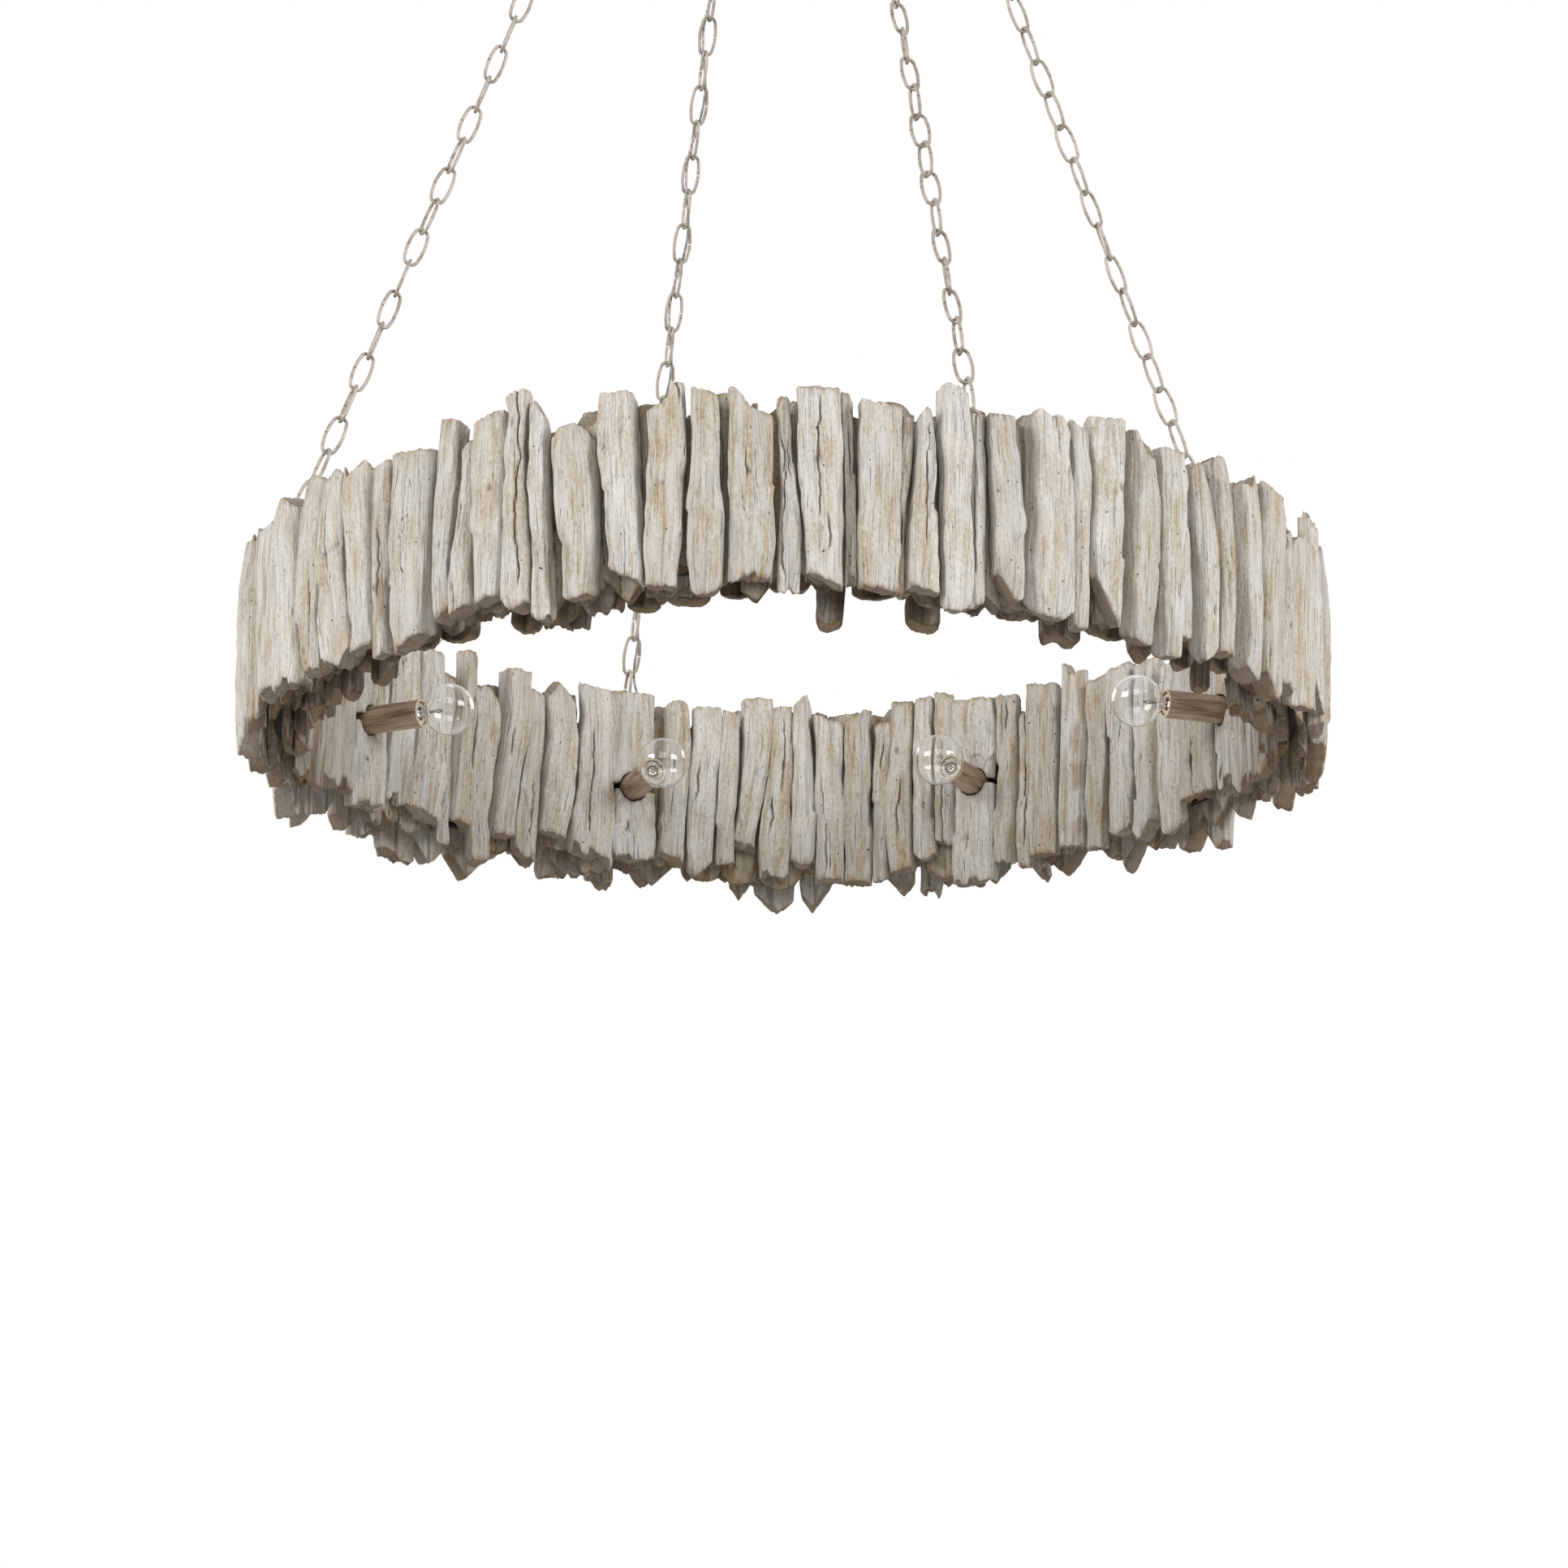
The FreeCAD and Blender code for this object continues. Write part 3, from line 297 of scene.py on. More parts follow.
# Drawn brass, dark red-brown and dull
brass = makeFinish("brass_drawn_dark", "#6f4632", "#40271c", blotch=4.0, share=0.4, roughness=0.5,
                   metallic=0.5)
# Sawn end of the pine sleeves: pale raw end grain
endGrain = makeFinish("pine_sawn_raw", "#c8b9a0", "#ab9678", blotch=2.5, share=0.5, roughness=0.75)
# Moulded urea resin of the lamp holders: cream, a little soiled, with a low sheen
urea = makeFinish("urea_moulded_cream", "#aea592", "#958b78", blotch=5.0, share=0.5, roughness=0.5)
# Moulded nylon of the splice: plain dark grey
nylon = makeFinish("nylon_moulded", "#232324", "#313133", blotch=5.0, share=0.5, roughness=0.5)
# Tungsten wire: dark grey metal
tungsten = makeFinish("tungsten_wire", "#55504a", "#3a3631", blotch=2.0, share=0.5, roughness=0.45,
                      metallic=1.0)

# Turned pine, stained walnut brown: dark grain along the sleeve under a thin wax sheen
stainedPine = {
    "stops": ((0.62, "#6c5846"), (0.74, "#927c67"), (0.87, "#a8937e")),
    "grainWidth": 1.8, "grainLength": 22.0,  # mm
    "sizes": ((1.0, 0.0), (3.2, 5.0)),  # fine and broad grain: times that size, and which noise
    "fine": 0.5, "bump": 0.4, "depth": 0.2,
}


def makeStainedPine(look):
    material, tree, shader = startMaterial("pine_stained_waxed", {"Roughness": 0.5})
    space = addNode(tree, "Attribute", {"attribute_name": "woodSpace"}).outputs["Vector"]
    fine, broad = (
        addGrain(tree, space, look["grainWidth"] * size, look["grainLength"] * size,
                 {"noise_dimensions": "4D", "Detail": 4.0, "W": shift}) for size, shift in look["sizes"])
    both = addNode(tree, "Math", {"operation": "MULTIPLY_ADD", 1: look["fine"]}, {0: fine, 2: broad})
    tree.links.new(addRamp(tree, both.outputs[0], look["stops"]), shader.inputs["Base Color"])
    addBump(tree, shader, look["bump"], look["depth"], fine)
    return material


# Blown soda-lime glass: clear, with a faint ripple that breaks its highlights
def makeGlass(ripple=18.0):  # mm
    material, tree, shader = startMaterial("glass_blown_clear", {
        "Base Color": (1.0, 1.0, 1.0, 1.0), "Roughness": 0.0, "IOR": 1.5, "Transmission Weight": 1.0})
    place = addNode(tree, "TexCoord").outputs["Object"]
    waves = addNode(tree, "TexNoise", {"Scale": 1 / (ripple * mm), "Detail": 1.0}, {"Vector": place})
    addBump(tree, shader, 0.05, 0.3, waves.outputs["Fac"])
    addClear(tree, shader, addNode(tree, "LightPath").outputs["Is Shadow Ray"])
    return material


# Clear extruded PVC over tinned copper: the silver strands show through a smooth skin
def makeClearCord():
    material, tree, shader = startMaterial("pvc_clear_over_copper", {
        "Roughness": 0.38, "IOR": 1.53, "Coat Weight": 0.25, "Coat Roughness": 0.3, "Metallic": 0.2})
    place = addNode(tree, "TexCoord").outputs["Object"]
    strands = addNode(tree, "TexWave", {
        "wave_type": "BANDS", "bands_direction": "DIAGONAL", "Scale": 0.1 / mm, "Distortion": 2.0},
        {"Vector": place})  # about 3 mm a turn
    shown = addRamp(tree, strands.outputs["Fac"], ((0.2, "#85827c"), (0.8, "#a9a7a2")))
    tree.links.new(shown, shader.inputs["Base Color"])
    return material


pine = makeStainedPine(stainedPine)
glass = makeGlass()
clearCord = makeClearCord()
print("materials made")


# Repeatable noise from 0 to 1 on a square grid
def noise(x, y, seed):
    x, y = np.broadcast_arrays(np.asarray(x, float), np.asarray(y, float))
    ix, iy = np.floor(x).astype(np.int64), np.floor(y).astype(np.int64)
    fx, fy = x - ix, y - iy
    fx, fy = fx * fx * (3 - 2 * fx), fy * fy * (3 - 2 * fy)

    def corner(i, j):
        h = (i * 374761393 + j * 668265263 + seed * 974711) & 0xffffffff
        h = ((h ^ (h >> 13)) * 1274126177) & 0xffffffff
        return ((h ^ (h >> 16)) & 0xffff) / 65535.0

    low = corner(ix, iy) * (1 - fx) + corner(ix + 1, iy) * fx
    high = corner(ix, iy + 1) * (1 - fx) + corner(ix + 1, iy + 1) * fx
    return low * (1 - fy) + high * fy


def ease(value, low, high):
    t = np.clip((value - low) / (high - low), 0, 1)
    return t * t * (3 - 2 * t)


# Separate sticks of a node, each with its corners and faces in millimetres about its own middle
def splitSticks(name, outward):
    build = bmesh.new()
    build.from_mesh(nodes[name].data)
    bmesh.ops.remove_doubles(build, verts=build.verts, dist=0.00001)
    build.verts.index_update()
    build.verts.ensure_lookup_table()
    taken, sticks = set(), []
    for vert in build.verts:
        if vert.index in taken:
            continue
        group, waiting = [], [vert]
        taken.add(vert.index)
        while waiting:
            here = waiting.pop()
            group.append(here.index)
            for edge in here.link_edges:
                there = edge.other_vert(here)
                if there.index not in taken:
                    taken.add(there.index)
                    waiting.append(there)
        points = np.array([build.verts[k].co for k in group])
        middle = (points.min(0) + points.max(0)) / 2
        reach = Vector((middle[0], middle[1], 0)).normalized()
        face = reach if outward else -reach
        axes = np.array([Vector((0, 0, 1)).cross(face), face, (0, 0, 1)])  # across, through and up
        order = {k: n for n, k in enumerate(group)}
        faces = {f for k in group for f in build.verts[k].link_faces}
        sticks.append({
            "node": name, "middle": middle, "axes": axes, "points": (points - middle) @ axes.T / mm,
            "corners": sorted(tuple(order[v.index] for v in f.verts) for f in faces),
            "heading": math.degrees(math.atan2(middle[0], middle[1])) % 360,
            "lift": (middle[2] - ringZ) / mm,
        })
    build.free()
    return sorted(sticks, key=lambda s: (round(s["heading"], 3), s["lift"]))


gauge = {
    "deep": 0.42,  # share of a stick's thickness where the rays start
    "levels": (0.3, 0.7),  # shares of its height where its lean is read
    "far": 300.0, "leastSpan": 20.0, "inset": 6.0,  # mm
    "across": (-0.35, 0.0, 0.35),  # shares of half its width where its ends are read
    "steepest": 0.7,  # slope of an end
    "shares": (0.08, 0.2, 0.35, 0.5, 0.65, 0.8, 0.92), "rays": 28,  # where its outline is read
    "missed": 3.0, "least": 1.5,  # mm, its reach where a ray misses, and its least
}


# Measures a stick by rays: its leaning axis, the lines of its two ends, and its outline at several heights
def measureStick(stick):
    points = stick["points"]
    tree = BVHTree.FromPolygons([tuple(p) for p in points], stick["corners"])
    low, high = points.min(0), points.max(0)
    deep = low[1] + gauge["deep"] * (high[1] - low[1])

    def hit(start, way):
        found = tree.ray_cast(Vector(start), Vector(way).normalized())
        return None if found[0] is None else np.array(found[0])

    def held(z):  # level from the ring's middle, no further than the hoops
        return max(-hoopReach, min(hoopReach, z + stick["lift"]))

    levels = [low[2] + s * (high[2] - low[2]) for s in gauge["levels"]]
    far = gauge["far"]
    edges = [(hit((-far, deep, z), (1, 0, 0))[0], hit((far, deep, z), (-1, 0, 0))[0]) for z in levels]
    middles = [(a + b) / 2 for a, b in edges]
    start, span = held(levels[0]), held(levels[1]) - held(levels[0])
    lean = (middles[1] - middles[0]) / span if abs(span) > gauge["leastSpan"] else 0.0

    def axis(z):
        return middles[0] + lean * (held(z) - start)

    half = (edges[0][1] - edges[0][0] + edges[1][1] - edges[1][0]) / 4
    ends = []
    for way, level, end in ((-1, levels[0], low[2]), (1, levels[1], high[2])):
        centre = axis(end - way * gauge["inset"])
        rays = [hit((centre + k * half, deep, level), (0, 0, way)) for k in gauge["across"]]
        found = np.array([p for p in rays if p is not None]).reshape(-1, 3)
        slope = np.polyfit(found[:, 0], found[:, 2], 1)[0] if len(found) > 1 else 0.0
        slope = max(-gauge["steepest"], min(gauge["steepest"], slope))
        base = float(np.mean(found[:, 2] - slope * found[:, 0])) if len(found) else end
        ends.append((base, slope))

    angles = np.linspace(0, 2 * math.pi, gauge["rays"], endpoint=False)
    reach = np.ones((len(gauge["shares"]), len(angles)))
    for j, s in enumerate(gauge["shares"]):
        base, slope = (a + (b - a) * s for a, b in zip(*ends))
        u = axis(base)
        z = base + slope * u
        for k, angle in enumerate(angles):
            c, d = math.cos(angle), math.sin(angle)
            found = hit((u, deep, z), (c, d, slope * c))
            across = gauge["missed"] if found is None else math.hypot(found[0] - u, found[1] - deep)
            reach[j, k] = max(gauge["least"], across)
    stick.update(deep=deep, axis=axis, ends=ends, reach=reach, half=half)


endLook = {
    "fibres": ((2.4, 2.3, 2.0), (3.0, 5.5, 2.5)),  # mm high, mm wide, how many through the stick
    "worn": (-6.0, 3.5),  # mm worn off the face's edge, or the back's if negative
    "slant": 0.14,  # steepest slope of a flat end
    "roundTall": (0.45, 0.8), "pointTall": (0.75, 1.15), "thinTall": (0.9, 1.4),  # of half the width
    "stepWidth": 9.0, "stepTall": (4.0, 9.0),  # mm
    "splinter": (12.0, 18.0), "splinterEdge": (-0.65, 0.1),  # mm, and across
    "lobe": 5.0, "lobeSide": 7.0,  # mm
}


# Drop below a stick's end line, for a point at u from -1 to 1 across and v from -1 to 1 through it
def endDrop(kind, u, v, half, seed):
    rng = random.Random(seed)
    wide = u * half
    fibres = sum(tall * noise(wide / size, v * through, seed + k)
                 for k, (tall, size, through) in enumerate(endLook["fibres"]))
    worn = rng.uniform(*endLook["worn"])
    thin = max(worn, 0) * np.clip(0.2 + v, 0, 2) ** 2 + max(-worn, 0) * np.clip(0.2 - v, 0, 2) ** 2
    slant = rng.uniform(-endLook["slant"], endLook["slant"]) * wide + abs(0.1 * half)
    if kind == "r":  # worn round
        tall = rng.uniform(*endLook["roundTall"]) * half
        return 0.6 * fibres + tall * (1 - np.sqrt(np.clip(1 - (0.97 * u) ** 2, 0, 1))) + 1.2 * thin
    if kind == "p":  # worn to a point
        at = rng.uniform(-0.6, 0.6)
        return 0.8 * fibres + rng.uniform(*endLook["pointTall"]) * half * np.abs(u - at) ** 1.2 + 1.4 * thin
    if kind == "n":  # split to a long thin point
        at = rng.uniform(-0.9, 0.9)
        return 0.6 * fibres + rng.uniform(*endLook["thinTall"]) * half * np.abs(u - at) + 1.5 * thin
    if kind == "b":  # broken across the fibres
        broken = ease(noise(wide / endLook["stepWidth"], v * 1.2, seed + 2), 0.36, 0.58)
        return 1.2 * fibres + broken * rng.uniform(*endLook["stepTall"]) + 0.8 * thin
    if kind in "st":  # a splinter left standing at the left or the right
        side = u if kind == "s" else -u
        return fibres + thin + rng.uniform(*endLook["splinter"]) * ease(side, *endLook["splinterEdge"])
    if kind == "l":  # two worn lobes
        lobes = endLook["lobe"] * (1 + np.cos(u * 2 * math.pi)) / 2
        return 0.6 * fibres + lobes + endLook["lobeSide"] * u ** 4 + thin
    return 0.9 * fibres + thin + slant


wood = {
    "over": 3.0,  # mm that the rough ends reach past the part's
    "sides": ((3.6, 40), (1.8, 13)), "face": (3.0, 60),  # wander of the split planes: mm, over mm of height
    "proud": (-2.0, 4.0),  # mm that a face stands behind or before the part's
    "thinEnds": (0.42, 0.3), "thinReach": (14, 34),  # most share worn off the face at the ends, over mm
    "arris": (0.77, 0.98), "arrisTurn": (30, 60), "chips": (5.0, 26),  # planes over the arrises
    "second": 0.6, "secondTurn": (9, 26), "secondShare": (0.84, 1.0), "secondFace": (2.6, 52),
    "round": 0.1, "roundTurns": (22, 158, 66, 114), "roundShare": 0.84,
    "tilt": 11.0, "faceTilt": 0.8, "twist": 14.0,  # degrees, most
    "sharp": (28.0, 9.0),  # arrises of a split stick and of a round one
    "ridges": ((1.0, 3.6, 75.0), (1.4, 8.0, 110.0)), "ridge": 0.63,  # share, mm wide and long; mm high
    "sway": (22.0, 48.0), "broad": 1.8, "fuzz": (2.2, 13.0), "fine": 0.5, "sunk": 0.3,  # mm
    "cracks": (0, 0, 1, 1, 2), "crackDepth": (2.2, 5.0), "crackWidth": (0.9, 1.8),  # mm, half the mouth
    "crackWander": ((5.0, 38.0), (3.0, 8.0)), "crackTaper": 0.12, "crackLeast": 0.3,
    "flake": (0.6, 2.8, 16.0, 9.0, 0.3),  # chance, mm deep, mm ragged over mm, slope
    "knot": (0.25, 2.6, 3.0), "knotSize": (5.0, 9.0),  # chance, mm proud and sunk; mm
    "burl": (4.5, 17.0), "bow": 2.4, "wander": (1.2, 60.0),  # mm, over mm of height
    "rim": (0.6, 2.0),  # mm, rounding of the ends' rims
    "endRows": (0.0, 0.8, 1.8, 3.6, 6.5), "capRings": (0.86, 0.66, 0.42, 0.18),  # mm; of the reach
    "wash": 0.58, "bareBack": 0.08, "endWashAndShade": (0.29, 0.38),  # on sides, how much less on backs, and on the bottom and top ends, the bottom ends darker as painted shade under the sticks
    "wearReach": 5.0, "arrisWear": 0.9, "endWear": 0.85,
}


# Reach of a stick towards one angle, along its whole length
def reachAt(share, stick, angle):
    table = np.concatenate([stick["reach"], stick["reach"][:, :1]], 1)
    coarse = np.linspace(0, 2 * math.pi, table.shape[1])
    return np.interp(share, gauge["shares"], [np.interp(angle, coarse, row) for row in table])


# Planes that a stick was split along, as (angle, distance at each height); their inner side is the stick
def splitPlanes(stick, share, up, seed, rng):
    tilt = wood["tilt"]

    def wave(size, k):  # straight runs that meet in corners, as split wood has
        high, length = size
        knots = up[0] + length * np.arange(-1, (up[-1] - up[0]) / length + 2)
        return high * (np.interp(up, knots, noise(knots, 0 * knots, seed + k)) - 0.5)

    def splitSide(angle, k):
        broad, fine = wood["sides"]
        return reachAt(share, stick, angle) + stick["widen"] + wave(broad, k) + wave(fine, k + 1)

    right, left = splitSide(0.0, 1), splitSide(math.pi, 3)
    front = reachAt(share, stick, math.pi / 2) + wave(wood["face"], 5) + rng.uniform(*wood["proud"])
    fromEnd = (1 - share) * (up[-1] - up[0]), share * (up[-1] - up[0])
    for far, most in zip(fromEnd, wood["thinEnds"]):
        front = front * (1 - rng.uniform(0.0, most) * np.exp(-far / rng.uniform(*wood["thinReach"])))
    back = reachAt(share, stick, 1.5 * math.pi)
    planes = [(-90.0, back), (rng.uniform(-tilt, tilt), right), (180 + rng.uniform(-tilt, tilt), left)]
    planes.append((90 + rng.uniform(-tilt, tilt) * wood["faceTilt"], front))
    for side, reach in ((1, right), (-1, left)):
        turn = rng.uniform(*wood["arrisTurn"])
        a = math.radians(turn)
        corner = (math.sin(a) * reach + math.cos(a) * front) * rng.uniform(*wood["arris"])
        planes.append((90 - side * turn, corner + wave(wood["chips"], 8 + side)))
    if rng.random() < wood["second"]:  # a second split across the face
        turn = rng.choice((-1, 1)) * rng.uniform(*wood["secondTurn"])
        lift = 0.3 * abs(math.sin(math.radians(turn))) * stick["half"]
        second = front * rng.uniform(*wood["secondShare"]) + lift + wave(wood["secondFace"], 12)
        planes.append((90 + turn, second))
    if stick["round"]:
        for turn in wood["roundTurns"]:
            a = math.radians(turn)
            corner = np.abs(math.cos(a)) * np.where(math.cos(a) > 0, right, left) + math.sin(a) * front
            planes.append((float(turn), corner * wood["roundShare"]))
    return planes, front


# Reach of the planes' section towards each angle, and how near each point is to an arris
def sectionReach(angles, planes, share, twist, power):
    total, most = 0.0, 0.0
    for turn, far in planes:
        way = math.radians(turn) + np.radians(twist) * (share - 0.5) * (turn > -45)  # the back isn't twisted
        lean = np.cos(angles[None, :] - way[:, None]) / np.maximum(far, gauge["least"])[:, None]
        lean = np.maximum(lean, 1e-6)
        total = total + lean ** power
        most = np.maximum(most, lean)
    return total ** (-1 / power), total / most ** power - 1


# Grows the shown stick on its measured shape: split faces, grain, cracks, flakes, knots and worn ends
def growStick(stick, around, along, rng):
    seed = rng.randrange(1, 60000)
    low, high = stick["ends"]
    foot, head = low[0] - wood["over"], high[0] + wood["over"]
    column = stick.get("column", 0)
    if column > 0:  # the short sticks meet beside the sleeve
        foot = -stick["lift"] + rows["meet"]
    elif column < 0:
        head = -stick["lift"] - rows["meet"]
    height = head - foot
    half = stick["half"]
    bottomKind, topKind = stick["kinds"]
    stick["round"] = rng.random() < wood["round"]

    rims = np.array(wood["endRows"]) / height
    inner = np.linspace(rims[-1], 1 - rims[-1], along - 8)
    share = np.concatenate([rims[:-1], inner, 1 - rims[:-1][::-1]])
    count = len(share)
    levels = foot + height * share
    planes, front = splitPlanes(stick, share, levels, seed, rng)
    twist = rng.uniform(-wood["twist"], wood["twist"])
    power = wood["sharp"][stick["round"]]

    # Points round the stick, evenly spaced over its face and sides and wider apart on its back
    fine = np.linspace(0, 2 * math.pi, 361)
    mid = sectionReach(fine, planes, share, twist, power)[0][count // 2]
    step = np.hypot(np.diff(mid * np.cos(fine)), np.diff(mid * np.sin(fine)))
    weight = np.where(np.sin((fine[1:] + fine[:-1]) / 2) > -0.3, 1.0, 0.3)
    run = np.concatenate([[0], np.cumsum(step * weight)])
    angles = np.interp(np.linspace(0, run[-1], around, endpoint=False), run, fine)
    girth = np.interp(angles, fine, np.concatenate([[0], np.cumsum(step)]))
    arc = girth - np.interp(math.pi / 2, angles, girth)
    arc = np.where(arc > step.sum() / 2, arc - step.sum(), arc)
    cosine, sine = np.cos(angles), np.sin(angles)
    reach, edge = sectionReach(angles, planes, share, twist, power)

    up = levels[:, None] + np.zeros((1, around))
    arcs = arc[None, :] + np.zeros((count, 1))
    show = ease(sine, -0.75, -0.2)[None, :]

    def grain(wide, long, k):  # noise over the stick's skin, sizes in mm
        return noise(arcs / wide, up / long, seed + k)

    ridges = sum(part * grain(*size, k) for k, (part, *size) in zip((0, 3), wood["ridges"])) - 1.2
    sway = grain(*wood["sway"], 5) - 0.5
    fuzz = grain(*wood["fuzz"], 7) - 0.5
    move = wood["ridge"] * ridges + wood["broad"] * sway + wood["fine"] * fuzz - wood["sunk"]

    crack = np.zeros_like(move)
    for k in range(rng.choice(wood["cracks"])):
        line = rng.uniform(-0.8, 0.8) * half
        begin, end = sorted(rng.uniform(-0.15, 1.15) for _ in range(2))
        end = max(end, begin + wood["crackLeast"])
        for (wide, long), shift in zip(wood["crackWander"], (20, 24)):
            line = line + wide * (noise(up / long, 0 * up, seed + shift + k) - 0.5)
        taper = ease(share, begin, begin + wood["crackTaper"]) * ease(-share, -end, -end + wood["crackTaper"])
        mouth = rng.uniform(*wood["crackWidth"])
        groove = np.clip(1 - np.abs(arcs - line) / mouth, 0, 1) * taper[:, None]
        crack = np.maximum(crack, groove)
        move = move - rng.uniform(*wood["crackDepth"]) * groove

    floor = np.zeros_like(move)
    flakes = stick.get("flakes", [])
    chance, deep, ragged, wide, slope = wood["flake"]
    if not flakes and rng.random() < chance:
        flakes = [(rng.uniform(0.12, 0.6), rng.choice((-1, 1)), rng.uniform(-0.6, 0.6), rng.choice((-1, 1)))]
    for level, way, since, side in flakes:  # a lost layer below or above a level, on one side of the stick
        line = foot + height * level + ragged * (noise(arcs / wide, 0 * arcs, seed + 31) - 0.5)
        line = line + slope * arcs * side
        lost = ease((line - up) * way, -0.8, 0.8) * ease(arcs * side, since * half - 1.5, since * half + 1.5)
        floor = np.maximum(floor, lost)
        move = move - deep * lost

    knot = np.zeros_like(move)
    knots = stick.get("knots", [])
    chance, proud, sunk = wood["knot"]
    if not knots and rng.random() < chance:
        knots = [(rng.uniform(-0.4, 0.4), rng.uniform(0.2, 0.8), rng.uniform(*wood["knotSize"]))]
    for across, level, size in knots:
        far = np.hypot((arcs - across * half) / size, (up - foot - level * height) / (1.5 * size))
        move = move + proud * np.exp(-1.4 * far ** 2) - sunk * np.exp(-(2.4 * far) ** 2)
        knot = np.maximum(knot, np.exp(-(2.0 * far) ** 2))
    for end, at in ((bottomKind, 0.0), (topKind, 1.0)):
        if end == "k":  # a burl at the end
            proud, long = wood["burl"]
            move = move + proud * np.exp(-(((share - at) * height) / long) ** 2)[:, None]

    reach = np.maximum(reach + move * show, 0.4 * reach)
    rim = rng.uniform(*wood["rim"])
    for k, inset in enumerate(np.minimum(share, 1 - share) * height):
        if inset < rim:
            reach[k] -= rim * (1 - math.sqrt(1 - (1 - inset / rim) ** 2))
    reach = np.maximum(reach, 1.0)

    wide, long = wood["wander"]
    bow = rng.uniform(-wood["bow"], wood["bow"]) * np.sin(math.pi * share)
    bow = bow + wide * (noise(levels / long, 0 * levels, seed + 70) - 0.5)
    axisAt = np.array([stick["axis"](z) for z in levels]) + bow
    depthRow = np.maximum(front, 2.0)[:, None]

    def place(radius, row):  # across, through and up for points at a share of the reach
        x, y = radius * cosine[None, :], radius * sine[None, :]
        u = np.clip(x / half, -1.1, 1.1)
        v = np.clip(y / depthRow[row], -1.0, 1.0)
        x = x + axisAt[row][:, None]
        bottom = foot + low[1] * x + endDrop(bottomKind, u, v, half, seed + 40)
        top = head + high[1] * x - endDrop(topKind, u, v, half, seed + 50)
        if column:  # cut round the sleeve
            beside = x - stick["lamp"]
            arch = np.sqrt(np.clip(rows["sleeveCut"] ** 2 - beside ** 2, 0, None))
            arch = np.maximum(arch, rows["meet"]) + 0.7 * noise(beside / 3.0, v, seed + 55)
            if column > 0:
                bottom = arch - stick["lift"]
            else:
                top = -arch - stick["lift"]
        return np.stack([x, y + stick["deep"], bottom + (top - bottom) * share[row][:, None]], -1)

    body = place(reach, np.arange(count))
    points = [body.reshape(-1, 3)]
    for row in (0, count - 1):
        rings = [place(reach[row:row + 1] * k, np.array([row]))[0] for k in wood["capRings"]]
        points += rings + [rings[-1].mean(0, keepdims=True)]
    points = np.concatenate(points)

    quads, triangles = [], []
    skin = count * around
    i = np.arange(around)
    j = (i + 1) % around
    for base in range(0, skin - around, around):
        quads.append(np.stack([base + i, base + around + i, base + around + j, base + j], 1))
    start = skin
    for outer, turn in ((0, 1), (skin - around, -1)):  # the bottom and top ends
        for ring in range(start, start + len(wood["capRings"]) * around, around):
            quads.append(np.stack([outer + i, outer + j, ring + j, ring + i], 1)[:, ::turn])
            outer = ring
        centre = outer + around
        triangles.append(np.stack([outer + i, outer + j, centre + 0 * i], 1)[:, ::turn])
        start = centre + 1

    capCount = (len(points) - skin) // 2
    offset = np.array([rng.uniform(0, 900) for _ in range(3)])
    space = points * (1.0, 1.0, 6.0)  # end grain is short
    space[:skin] = np.stack([arcs, 0 * arcs, body[:, :, 2]], -1).reshape(-1, 3)
    # dim lowers the relief as painted shade on the inner sticks near the viewer
    reliefAndShade = wood["wash"] - stick.get("dim", 0.0) + 0.16 * ridges + 0.1 * sway
    reliefAndShade = reliefAndShade - 0.75 * crack - 0.08 * floor - 0.35 * knot
    reliefAndShade = np.clip(reliefAndShade - wood["bareBack"] * ease(-sine, 0.1, 0.7)[None, :], 0, 1)
    away = np.minimum(share, 1 - share)[:, None] * height + 9.0 * (grain(3.0, 30.0, 60) - 0.3)
    patchy = ease(grain(9.0, 26.0, 61), 0.35, 0.75)
    wear = np.exp(-np.clip(away, 0, None) / wood["wearReach"])
    wear = np.maximum(wear, wood["arrisWear"] * np.clip(edge, 0, 1) * patchy)
    return {
        "points": stick["middle"] + points @ stick["axes"] * mm,
        "quads": np.concatenate(quads), "triangles": np.concatenate(triangles), "woodSpace": space + offset,
        # the bottom ends take the lower value, painted shade under the sticks
        "reliefAndShade": np.concatenate([reliefAndShade.ravel()] + [np.full(capCount, w) for w in wood["endWashAndShade"]]),
        "wear": np.concatenate([wear.ravel(), np.full(2 * capCount, wood["endWear"])]),
        "tone": np.full(len(points), stick.get("tone", rng.random())),
    }


# One mesh object from several grown sticks
def buildRow(name, grown, material):
    points = np.concatenate([s["points"] for s in grown])
    shift = np.cumsum([0] + [len(s["points"]) for s in grown[:-1]])
    kinds = ("quads", "triangles")
    quads, triangles = (np.concatenate([s[k] + first for s, first in zip(grown, shift)]) for k in kinds)
    mesh = bpy.data.meshes.new(name)
    mesh.from_pydata(points, [], quads.tolist() + triangles.tolist())
    smoothFaces(mesh)
    for label in ("reliefAndShade", "wear", "tone"):
        values = np.concatenate([s[label] for s in grown]).astype(np.float32)
        mesh.attributes.new(label, "FLOAT", "POINT").data.foreach_set("value", values)
    setWoodSpace(mesh, np.concatenate([s["woodSpace"] for s in grown]))
    mesh.materials.append(material)
    mesh.validate()
    return addObject(name, mesh)


lamps = {"first": -65.0, "step": 45.0, "count": 8, "mouthRadius": 400.0}  # degrees, mm


def lampHeading(k):
    return lamps["first"] + k * lamps["step"]


